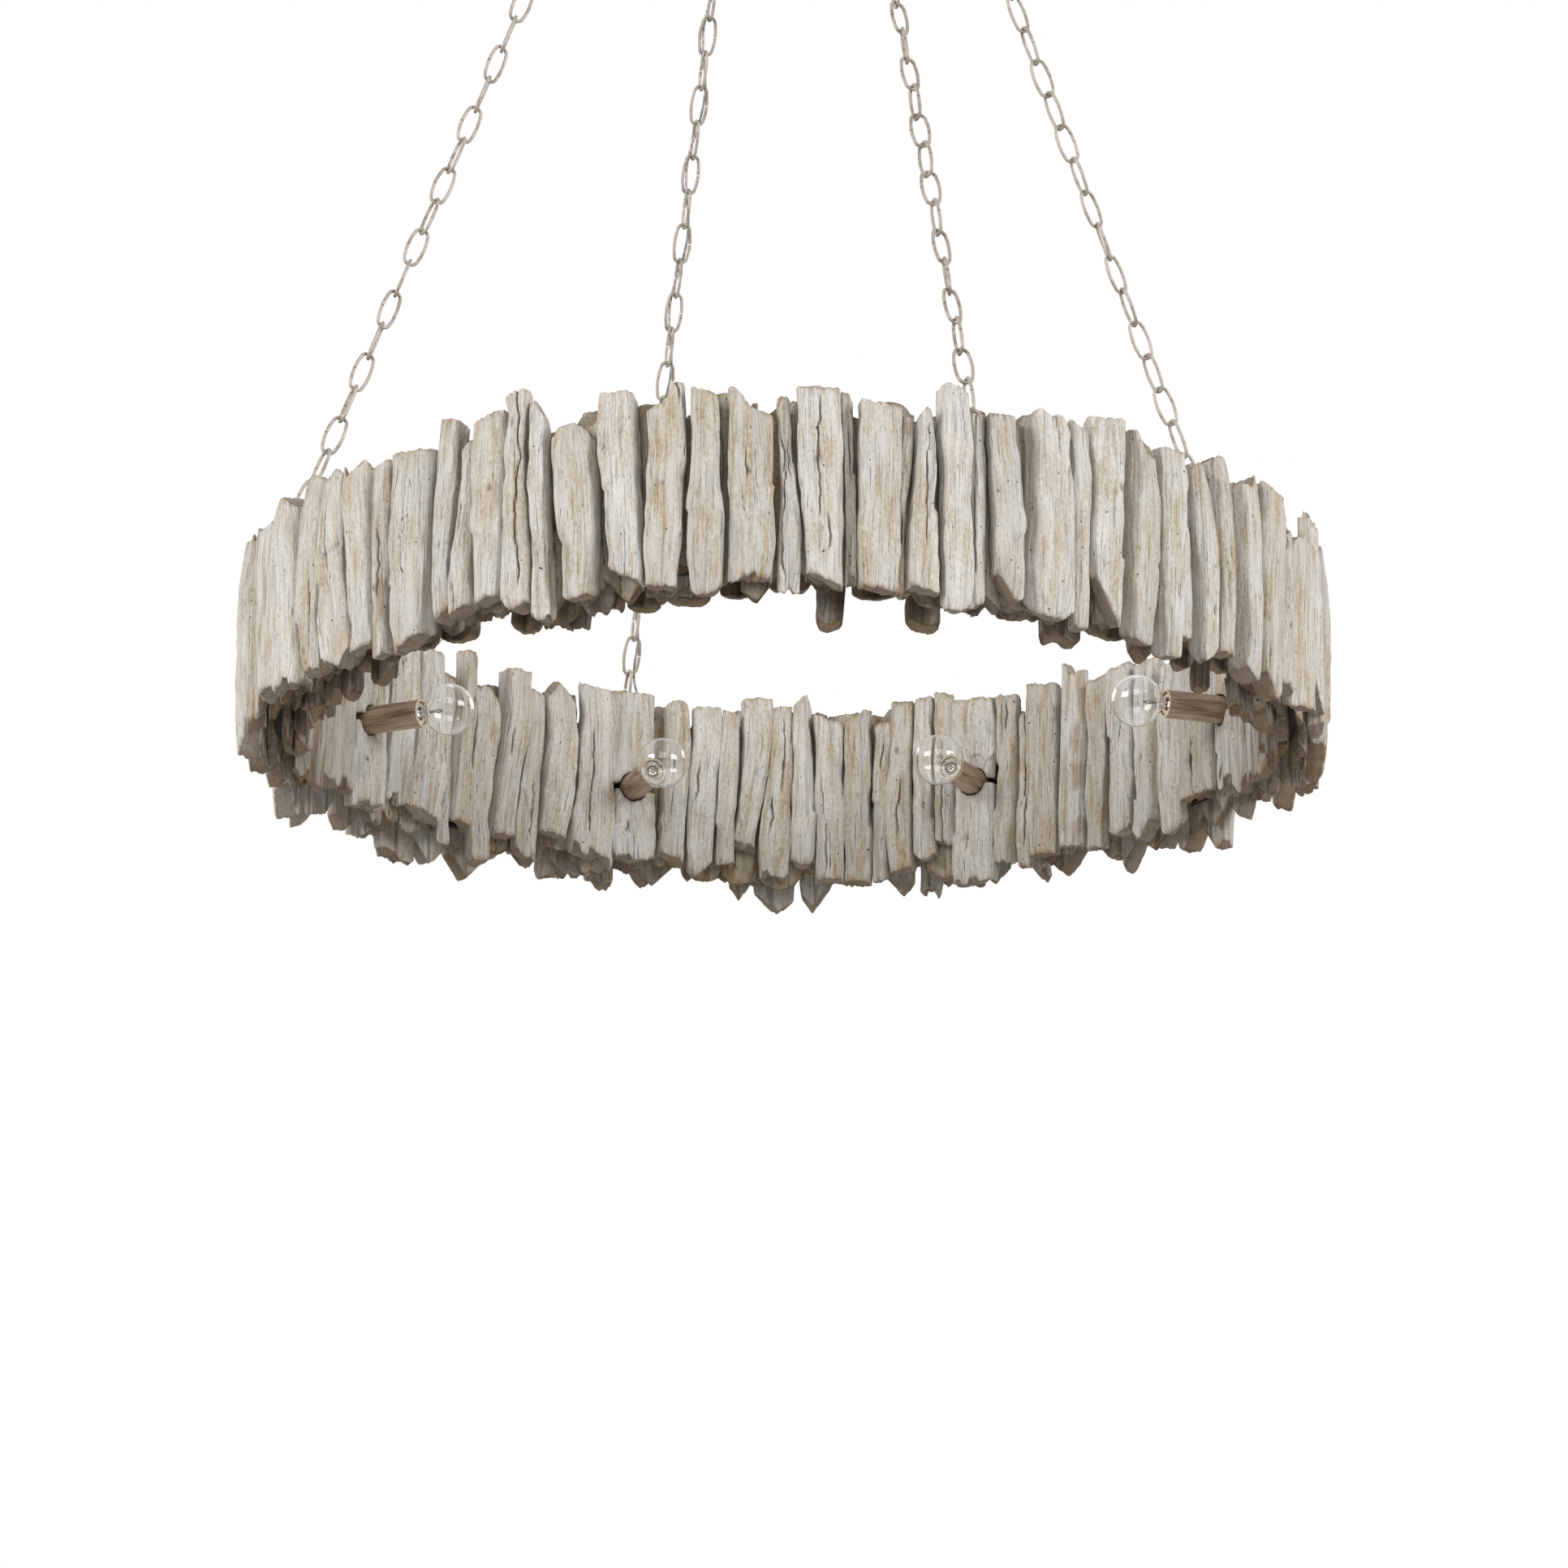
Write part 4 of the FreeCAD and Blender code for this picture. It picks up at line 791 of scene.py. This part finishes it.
# Ends of the sticks that face the viewer, from the left, as bottom and top: f flat, r round, p pointed,
# n a long thin point, b broken, s or t a splinter at the left or right, l lobed, k a burl
rows = {
    "seed": 1932,
    "quarters": ("front", "right", "back", "left"),
    "nearSpan": (106.3, 253.0),  # headings of the outer sticks that face the viewer
    "nearEnds": "bf bp br pp fb rf ff rf fp ff rk bp rr ff ft rf bs bb ff bf ff bf fp rf bf pf rl rf pf "
                "rs rf fp pp fr rt pf fp fr",
    "flakes": {6: [(0.34, 1, 0.0, 1)], 15: [(0.36, 1, -0.5, 1)], 1: [(0.3, 1, 0.2, 1)]},
    "knots": {10: [(0.0, 0.86, 11.0)], 28: [(-0.35, 0.66, 10.0)], 26: [(0.55, 0.06, 9.0)],
              2: [(0.1, 0.1, 8.0)]},
    "columnReach": 3.0,  # degrees each side of a lamp that its short sticks take up
    "sleeveCut": 15.0,  # mm, radius of the cut round a sleeve
    "meet": 3.0,  # mm from a lamp's level to the short sticks' ends beside the sleeve
    "bayEnds": (
        "ff bf ff bf rr ff rp ff rf fp bf",
        "fr pf ff bf bf rp ff ff ff ff rf ff",
        "ff ff ff fs ff rf pf rf ff bf",
    ),
    "otherEnds": {"outer": "nnpb", "inner": "rrrpbl", "top": "fffrrpbst"},  # drawn from, for all other sticks
    "nearTone": (0.4, 1.0), "innerTone": (0.25, 1.0),
    "paintedShadeSpan": (-0.6, 0.1), "paintedShadeTone": 0.8, "paintedShadeRelief": 0.28, "open": 1.6,  # inner sticks near the viewer: painted shade as a darker tone and lower relief, and narrower sticks
    "points": {"outer_sticks": (58, 84), "inner_sticks": (54, 80), "backing": (24, 36)},  # around and along
    "widen": {"outer_sticks": 1.2, "inner_sticks": 2.2, "column": 3.8, "backing": 6.0},  # mm, each side
    "mostTriangles": 190000,  # for one piece
}


def makeRows():
    outer = [s for q in rows["quarters"] for s in splitSticks("outer_sticks_" + q, True)]
    inner = [s for q in rows["quarters"] for s in splitSticks("inner_sticks_" + q, False)]
    backing = splitSticks("outer_backing", True) + splitSticks("inner_backing", False)
    near = [s for s in outer if rows["nearSpan"][0] < s["heading"] < rows["nearSpan"][1]]
    near.sort(key=lambda s: -s["heading"])
    ends = rows["nearEnds"].split()
    print("sticks facing the viewer:", len(near), "of", len(ends))
    for k, (stick, kinds) in enumerate(zip(near, ends)):
        stick.update(kinds=kinds, nearFace=True)
        for label in ("flakes", "knots"):
            stick[label] = rows[label].get(k, [])
    for k, line in enumerate(rows["bayEnds"]):
        start, end = lampHeading(k) + rows["columnReach"], lampHeading(k + 1) - rows["columnReach"]
        bay = [s for s in inner if start < (s["heading"] + 180) % 360 - 180 < end]
        bay.sort(key=lambda s: (s["heading"] + 180) % 360)
        for stick, kinds in zip(bay, line.split()):
            stick["kinds"] = kinds
        print("bay", k, "sticks", len(bay), "of", len(line.split()))

    step = lamps["step"]
    for stick in inner:
        off = (stick["heading"] - lamps["first"] + step / 2) % step - step / 2
        if abs(off) < rows["columnReach"]:
            stick["column"] = 1 if stick["lift"] > 0 else -1
            lamp = polar(np.hypot(*stick["middle"][:2]), stick["heading"] - off, 0)
            stick["lamp"] = float(np.dot(np.array(lamp) - stick["middle"] * (1, 1, 0), stick["axes"][0])) / mm
            stick["kinds"] = "ff" if stick["lift"] > 0 else "bf"

    pieces = {}
    for number, stick in enumerate(outer + inner + backing):
        rng = random.Random(rows["seed"] * 1000 + number)
        if "kinds" not in stick:
            low = rows["otherEnds"]["outer" if "outer" in stick["node"] else "inner"]
            stick["kinds"] = rng.choice(low) + rng.choice(rows["otherEnds"]["top"])
        less = 0.0
        if stick["node"].startswith("inner_sticks"):  # those nearer the viewer get painted shade, a darker tone and a lower relief
            less = float(ease(-math.cos(math.radians(stick["heading"])), *rows["paintedShadeSpan"]))
            stick["tone"] = rng.uniform(*rows["innerTone"]) * (1 - rows["paintedShadeTone"] * less)
            stick["dim"] = rows["paintedShadeRelief"] * less
        if "nearFace" in stick:
            stick["tone"] = rng.uniform(*rows["nearTone"])
        measureStick(stick)
        stick["rng"] = rng
        stick["kind"] = "backing" if "backing" in stick["node"] else stick["node"].rsplit("_", 1)[0]
        widen = rows["widen"]["column" if "column" in stick else stick["kind"]]
        stick["widen"] = widen - rows["open"] * less
        pieces.setdefault(stick["node"], []).append(stick)
    for name, sticks in pieces.items():
        kind = sticks[0]["kind"]
        around, along = rows["points"][kind]
        most = rows["mostTriangles"] / len(sticks) / 2 / around - 10
        grown = [growStick(s, around, int(min(along, most)), s["rng"]) for s in sticks]
        piece = buildRow(name + "_wood", grown, bare if kind == "backing" else limed)
        setPiece(piece, "fixture", name)
        triangles = sum(len(p.vertices) - 2 for p in piece.data.polygons)
        print(name, len(sticks), "sticks,", triangles, "triangles")


makeRows()
print("driftwood grown")


# Turned piece from an outline of (radius, height) in millimetres, closed or open, with grain coordinates
def turnOutline(outline, segments, closed):
    rings = np.array(outline, float)
    radius, level = rings[:, :1], rings[:, 1:]
    turn = np.linspace(0, 2 * math.pi, segments, endpoint=False)
    points = np.stack([radius * np.cos(turn), radius * np.sin(turn), level + 0 * turn], -1)
    grain = np.stack([radius * turn, radius + 0 * turn, level + 0 * turn], -1)
    faces = []
    for r in range(len(rings) if closed else len(rings) - 1):
        here, there = r * segments, (r + 1) % len(rings) * segments
        for k in range(segments):
            m = (k + 1) % segments
            faces.append((here + k, here + m, there + m, there + k))
    return points.reshape(-1, 3) * mm, faces, grain.reshape(-1, 3)


# From a lamp's own axes, +Z into the ring from the sleeve's mouth, to the frame
def lampPlace(k):
    inward = -polar(1, lampHeading(k), 0)
    across = Vector((0, 0, 1)).cross(inward)
    turn = Matrix((across, inward.cross(across), inward)).transposed()
    return Matrix.Translation(polar(lamps["mouthRadius"] * mm, lampHeading(k), ringZ)) @ turn.to_4x4()


sleeve = {
    "radius": 14.0, "wall": 1.8, "length": 72.0, "bevel": 0.7,  # mm
    "segments": 72, "mouthRings": (3, 4, 5, 6, 7),  # rings of the outline with raw end grain
    "grainStep": (131.0, 57.0, 211.0), "sharp": 50.0,  # mm from one sleeve's grain to the next's, degrees
}


def makeSleeves():
    radius, foot, bevel = sleeve["radius"], -sleeve["length"], sleeve["bevel"]
    bore = radius - sleeve["wall"]
    outline = [
        (radius, foot + bevel), (radius, foot * 0.66), (radius, foot * 0.33), (radius, -bevel),
        (radius - 0.3 * bevel, -0.3 * bevel), (radius - bevel, 0), (bore + bevel * 0.6, 0),
        (bore + 0.1 * bevel, -0.4 * bevel), (bore, -bevel), (bore, foot * 0.5), (bore, foot + bevel),
        (bore + bevel * 0.4, foot), (radius - bevel, foot),
    ]
    points, faces, grain = turnOutline(outline, sleeve["segments"], True)
    allPoints, allFaces, allGrain = [], [], []
    for k in range(lamps["count"]):
        place = lampPlace(k)
        shift = k * len(points)
        allPoints += [place @ Vector(p) for p in points]
        allFaces += [tuple(v + shift for v in f) for f in faces]
        allGrain.append(grain + tuple(step * k for step in sleeve["grainStep"]))
    mesh = bpy.data.meshes.new("sleeves_turned")
    mesh.from_pydata(allPoints, [], allFaces)
    smoothFaces(mesh)
    setWoodSpace(mesh, np.concatenate(allGrain))
    mesh.materials.append(pine)
    mesh.materials.append(endGrain)
    ring = np.arange(len(mesh.polygons)) // sleeve["segments"] % len(outline)
    mesh.polygons.foreach_set("material_index", np.isin(ring, sleeve["mouthRings"]).astype(np.int32))
    mesh.set_sharp_from_angle(angle=math.radians(sleeve["sharp"]))
    setPiece(addObject("sleeves_turned", mesh), "fixture", "candle_sleeves")


makeSleeves()
print("sleeves turned")


# Tube on NURBS lines whose control points are given in millimetres, and the points along the first line
def layTube(name, routes, diameter, cyclic=False):
    curve = bpy.data.curves.new(name + "_line", "CURVE")
    curve.dimensions = "3D"
    curve.bevel_resolution = 4
    curve.resolution_u = 10
    curve.use_fill_caps = True
    for route in routes:
        spline = curve.splines.new("NURBS")
        spline.points.add(len(route) - 1)
        for point, at in zip(spline.points, route):
            point.co = (*(Vector(at) * mm), 1.0)
        spline.use_cyclic_u = cyclic
        spline.order_u = 3
        spline.use_endpoint_u = not cyclic
    line = addObject(name + "_line", curve)
    meshes = []
    for depth in (0.0, diameter / 2 * mm):
        curve.bevel_depth = depth
        bpy.context.view_layer.update()
        shown = line.evaluated_get(bpy.context.evaluated_depsgraph_get())
        meshes.append(bpy.data.meshes.new_from_object(shown))
    thread, tube = meshes
    path = [vertex.co.copy() for vertex in thread.vertices]
    bpy.data.meshes.remove(thread)
    bpy.data.objects.remove(line)
    tube.name = name
    tube.materials.clear()
    smoothFaces(tube)
    return tube, path


# In mm and degrees, the length in metres; heights are from the ceiling or, at the ring, from its middle
supplyCord = {
    "diameter": 2.6, "tap": 2.0, "heading": -20.0, "length": 1.397, "slip": 0.3,
    "collarBottom": -56.1, "beside": (-5.6, 5.2),  # where the cord passes the stirrup
    "pastStirrup": ((0, 0, -5.0), (-3.6, 3.4, -14.0), (-5.6, 5.2, -26.0)),  # from the collar's bottom
    "topLink": -98.55, "bend": 16.0, "drift": (0.3, 1.1),
    "hubEye": -127.0, "hubEyeRadius": 11.0, "onward": 9.0,
    "pastBoss": (14.5, 10.0, -156.0), "underHub": (20.0, 13.0, -178.0),  # radius, turn and height
    "hub": -169.0, "hubRadius": 38.0, "hoopRadius": 490.5, "eyeRise": 97.0,  # ends of the chain
    "links": 35, "pitch": 36.1, "first": 14.9, "side": 4.6,
    "corners": ((-1, 1), (1, 1), (1, -1), (-1, -1)),  # taken in turn from link to link
    "pastEye": ((-3.0, 11.0, 12.0), (-0.5, 21.0, -8.0)),  # outward, along the hoop, from the eye's top
    "holeOffset": 25.0, "overHole": 70.0, "spliceLength": 17.0,
    "harness": 14.0, "harnessRadius": 492.6, "harnessPoints": 64,
    "tapRoute": ((492.6, 12.4), (492.6, 3.2), (492.6, 0.0), (489.4, 0.0), (458.5, 0.0)),  # radius and height
}


def makeCords():
    cord = supplyCord
    thick, foot, heading, radius = (cord[k] for k in ("diameter", "collarBottom", "heading", "hoopRadius"))
    up = Vector((0, 0, 1))
    ring = ringZ / mm

    def addTube(name, routes, node, diameter=thick, cyclic=False):
        mesh, path = layTube(name, routes, diameter, cyclic)
        mesh.materials.append(clearCord)
        piece = addObject(name, mesh)
        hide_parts(node)
        return piece, path

    entryRoute = [(0, 0, foot), (0, 0, foot / 2), (0, 0, -cord["slip"])]
    entry, _ = addTube("cord_in_canopy", [entryRoute], "supply_cord_entry")
    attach(entry, "canopy")

    collar = up * foot
    joint = Vector((*cord["beside"], cord["topLink"]))
    route = [collar, *((x, y, foot + z) for x, y, z in cord["pastStirrup"]), joint]
    upper, _ = addTube("cord_past_stirrup", [route], "cord_flex_upper")
    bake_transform(upper)

    bend = joint - up * cord["bend"]
    below = Vector((*cord["beside"], 0)) + Vector((*cord["drift"], cord["hubEye"] - cord["hubEyeRadius"]))
    lower, _ = addTube("cord_past_top_link", [[joint, bend, below]], "cord_flex_lower")
    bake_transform(lower)

    eyeTop = ring + cord["eyeRise"]
    top = polar(cord["hubRadius"], heading, cord["hub"])
    way = (polar(radius, heading, eyeTop) - top).normalized()
    a = math.radians(heading)
    across = Vector((math.cos(a), -math.sin(a), 0))
    inPlane = across.cross(way)
    route = [below, below + (below - bend).normalized() * cord["onward"]]
    route += [polar(r, heading + turn, z) for r, turn, z in (cord["pastBoss"], cord["underHub"])]
    for i in range(cord["links"] - 1):
        crossing = top + way * (cord["first"] + (i + 0.5) * cord["pitch"])
        u, v = cord["corners"][i % 4]
        route.append(crossing + inPlane * (u * cord["side"]) + across * (v * cord["side"]))
    hole = heading + math.degrees(cord["holeOffset"] / radius)
    splice = polar(radius, hole, ring + cord["harness"] + thick / 2 + cord["slip"])
    for r, along, z in cord["pastEye"]:
        route.append(polar(radius + r, heading + math.degrees(along / radius), eyeTop + z))
    route += [polar(radius, hole, ring + cord["overHole"]), splice + up * cord["spliceLength"]]
    woven, path = addTube("cord_in_chain", [route], "supply_cord")
    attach(woven, "fixture")

    count = cord["harnessPoints"]
    spread = (1 + math.cos(math.pi / count)) / 2  # the circle's radius over its control points'
    level = ring + cord["harness"]
    circle = [polar(cord["harnessRadius"] / spread, 360 * k / count, level) for k in range(count)]
    harness, _ = addTube("harness_round_ring", [circle], "ring_harness", cyclic=True)
    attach(harness, "fixture")

    taps = [[polar(r, lampHeading(k), ring + z) for r, z in cord["tapRoute"]] for k in range(lamps["count"])]
    wires, _ = addTube("wires_to_sockets", taps, "socket_wires", diameter=cord["tap"])
    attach(wires, "fixture")


makeCords()
print("cords laid")


# Bulb insides: screw base, glass stem with its flare, lead wires and a zigzag filament, in mm
bulb = {
    "base": 5.95, "top": -4.2, "length": 18.0,
    "pitch": 3.2, "thread": 0.5, "threadEnd": 1.5, "threadSteps": 48,
    "tip": 4.6, "tipRadius": 2.5, "axis": 0.05,
    "flare": ((4.2, 0.2), (3.6, 2.2), (2.4, 5.0)),  # radius, and height over the base
    "stem": 1.9, "stemStart": 8.0, "stemTop": 9.5,
    "filamentWidth": 4.2, "filamentTop": 22.0, "zigzag": 0.8, "wire": 0.38,
    "segments": (40, 28),  # round the base and the stem
}


def makeBulbs():
    top, bottom, radius, axis = bulb["top"], bulb["top"] - bulb["length"], bulb["base"], bulb["axis"]
    shell = [(axis, top), (radius - 0.6, top), (radius, top - 0.5)]
    for k in range(bulb["threadSteps"] + 1):
        z = top - bulb["threadEnd"] - k / bulb["threadSteps"] * (bulb["length"] - 2 * bulb["threadEnd"])
        turn = 2 * math.pi * (top - z - bulb["threadEnd"]) / bulb["pitch"]
        shell.append((radius - bulb["thread"] * (0.5 - 0.5 * math.cos(turn)), z))
    tip, tipRadius = bottom - bulb["tip"], bulb["tipRadius"]
    shell += [(radius - 1.0, bottom), (radius - 1.6, bottom - 0.3)]
    shell += [(tipRadius, tip + 1.2), (tipRadius * 0.7, tip + 0.3), (axis, tip)]
    rod, pinch = bulb["stem"], bulb["stemTop"]
    stem = [(axis, top), *((far, top + z) for far, z in bulb["flare"]), (rod, top + bulb["stemStart"]),
            (rod * 0.95, pinch - 2.5), (rod * 1.15, pinch - 1.0), (rod * 0.8, pinch - 0.2), (axis, pinch)]
    wide, crest, zig = bulb["filamentWidth"], bulb["filamentTop"], bulb["zigzag"]
    lead = [(-1.0, 0, pinch - 1), (-1.2, 0, pinch + 2), (-wide, 0, crest - 4), (-wide / 1.6, 0, crest - 1)]
    zigzag = []
    for k, x in enumerate(range(-2, 3)):
        side = zig * (-1) ** k
        zigzag.append((x * wide / 4, side, crest - 1 + side))
    wire = lead + zigzag + [(-x, y, z) for x, y, z in reversed(lead)]
    for k in range(lamps["count"]):
        place = lampPlace(k)
        name = f"bulb_{k + 1}"
        build = bmesh.new()
        for slot, (outline, segments) in enumerate(zip((shell, stem), bulb["segments"])):
            points, faces, _ = turnOutline(outline, segments, False)
            verts = [build.verts.new(place @ Vector(p)) for p in points]
            for face in faces:
                made = build.faces.new([verts[v] for v in face])
                made.material_index = slot
                made.smooth = True
        turnedFaces = len(build.faces)
        thread, _ = layTube("filament", [[place @ (Vector(p) * mm) / mm for p in wire]], bulb["wire"] * 2)
        build.from_mesh(thread)
        bpy.data.meshes.remove(thread)
        build.faces.ensure_lookup_table()
        for face in build.faces[turnedFaces:]:
            face.material_index = 2
        mesh = bpy.data.meshes.new(name + "_inside")
        build.to_mesh(mesh)
        build.free()
        for material in (brass, glass, tungsten):
            mesh.materials.append(material)
        setPiece(addObject(name + "_inside", mesh), name, name + "_base")
        wearMaterial(nodes[name + "_glass"], glass)


makeBulbs()
print("bulbs filled")

# The part's own pieces whose shapes are right as they are
finishes = (
    (champagne, "ceiling_canopy collar_ring collar_loop top_link hub_eye hub_nut hub_ring "
                "chain_right chain_front chain_left chain_back chain_eyes"),
    (blackSteel, "upper_hoop lower_hoop hoop_uprights"),
    (zinc, "mounting_crossbar crossbar_nipple canopy_locknut socket_nipples socket_locknuts"),
    (browned, "brads"),
    (brass, "screw_shells centre_contacts"),
    (urea, "lamp_holders"),
    (nylon, "ring_splice"),
)
for material, names in finishes:
    for name in names.split():
        wearMaterial(nodes[name], material)
print("finishes laid on the part's own pieces")

studio = {
    "distance": 6.0, "below": 17.2,  # metres from the ring's middle, degrees under its level
    "focal": 7608.0, "frame": 1932.0,  # pixels
    "ringX": 968.4, "ringY": 817.0,  # where the ring's middle falls in the frame, pixels
    "sensor": 36.0, "nearest": 0.05,  # mm, metres
    "lights": {  # place in metres from the ring's middle, and power
        "right": (4.5, -3.0, 1.2, 226.0), "back right": (4.2, 3.8, 2.0, 80.0),
        "left": (-4.5, -3.0, 1.2, 226.0), "back left": (-4.2, 3.8, 2.0, 80.0),
        "front": (0.0, -5.2, 2.4, 76.0),
    },
    "lightSize": 3.2,
    "underneath": 0.03, "overhead": 0.40,  # strength of the soft light from below and from above
    "floorDrop": 2.0, "floorRadius": 3.2, "floorFade": (0.55, 0.99),  # metres, shares of the radius
}


def makeCamera():
    view = math.radians(studio["below"])
    half = studio["frame"] / 2
    data = bpy.data.cameras.new("camera")
    data.sensor_width = studio["sensor"]
    data.lens = studio["focal"] / studio["frame"] * studio["sensor"]
    data.clip_start = studio["nearest"]
    camera = addObject("camera", data)
    camera.location = (0, -studio["distance"] * math.cos(view), ringZ - studio["distance"] * math.sin(view))
    pitch = view - math.atan((half - studio["ringY"]) / studio["focal"])
    yaw = math.atan((studio["ringX"] - half) / studio["focal"])
    camera.rotation_euler = (math.pi / 2 + pitch, 0, yaw)
    scene.camera = camera


def makeStudio():
    middle = Vector((0, 0, ringZ))
    for name, (*place, power) in studio["lights"].items():
        data = bpy.data.lights.new(name, "AREA")
        data.size = studio["lightSize"]
        data.energy = power
        light = addObject(name, data)
        light.location = Vector(place) + middle
        light.rotation_euler = (middle - light.location).to_track_quat("-Z", "Y").to_euler()
    world = bpy.data.worlds.new("studio")
    scene.world = world
    world.use_nodes = True
    tree = world.node_tree
    path = addNode(tree, "LightPath")
    seen = addNode(tree, "Math", {"operation": "MAXIMUM"},
                   {0: path.outputs["Is Camera Ray"], 1: path.outputs["Is Transmission Ray"]})
    way = addNode(tree, "TexCoord").outputs["Generated"]
    rise = addNode(tree, "SeparateXYZ", links={0: way}).outputs["Z"]
    soft = addRange(tree, rise, -1.0, 1.0, studio["underneath"], studio["overhead"], "LINEAR")
    pick = addNode(tree, "Mix", {"data_type": "RGBA", 7: (1, 1, 1, 1)}, {0: seen.outputs[0], 6: soft})
    tree.links.new(pick.outputs[2], tree.nodes["Background"].inputs["Color"])

    # Pale paper floor that fades out to the white round it
    mesh = bpy.data.meshes.new("floor")
    build = bmesh.new()
    bmesh.ops.create_circle(build, cap_ends=True, segments=96, radius=studio["floorRadius"])
    build.to_mesh(mesh)
    build.free()
    floor = addObject("floor", mesh)
    floor.location = (0, 0, ringZ - studio["floorDrop"])
    material, tree, shader = startMaterial("paper_floor", {"Roughness": 0.9, "Base Color": colour("#efedea")})
    place = addNode(tree, "TexCoord").outputs["Object"]
    far = addNode(tree, "VectorMath", {"operation": "LENGTH"}, {0: place}).outputs["Value"]
    fade = addRange(tree, far, *(share * studio["floorRadius"] for share in studio["floorFade"]))
    addClear(tree, shader, fade)
    mesh.materials.append(material)


makeCamera()
makeStudio()
print("camera and studio ready")
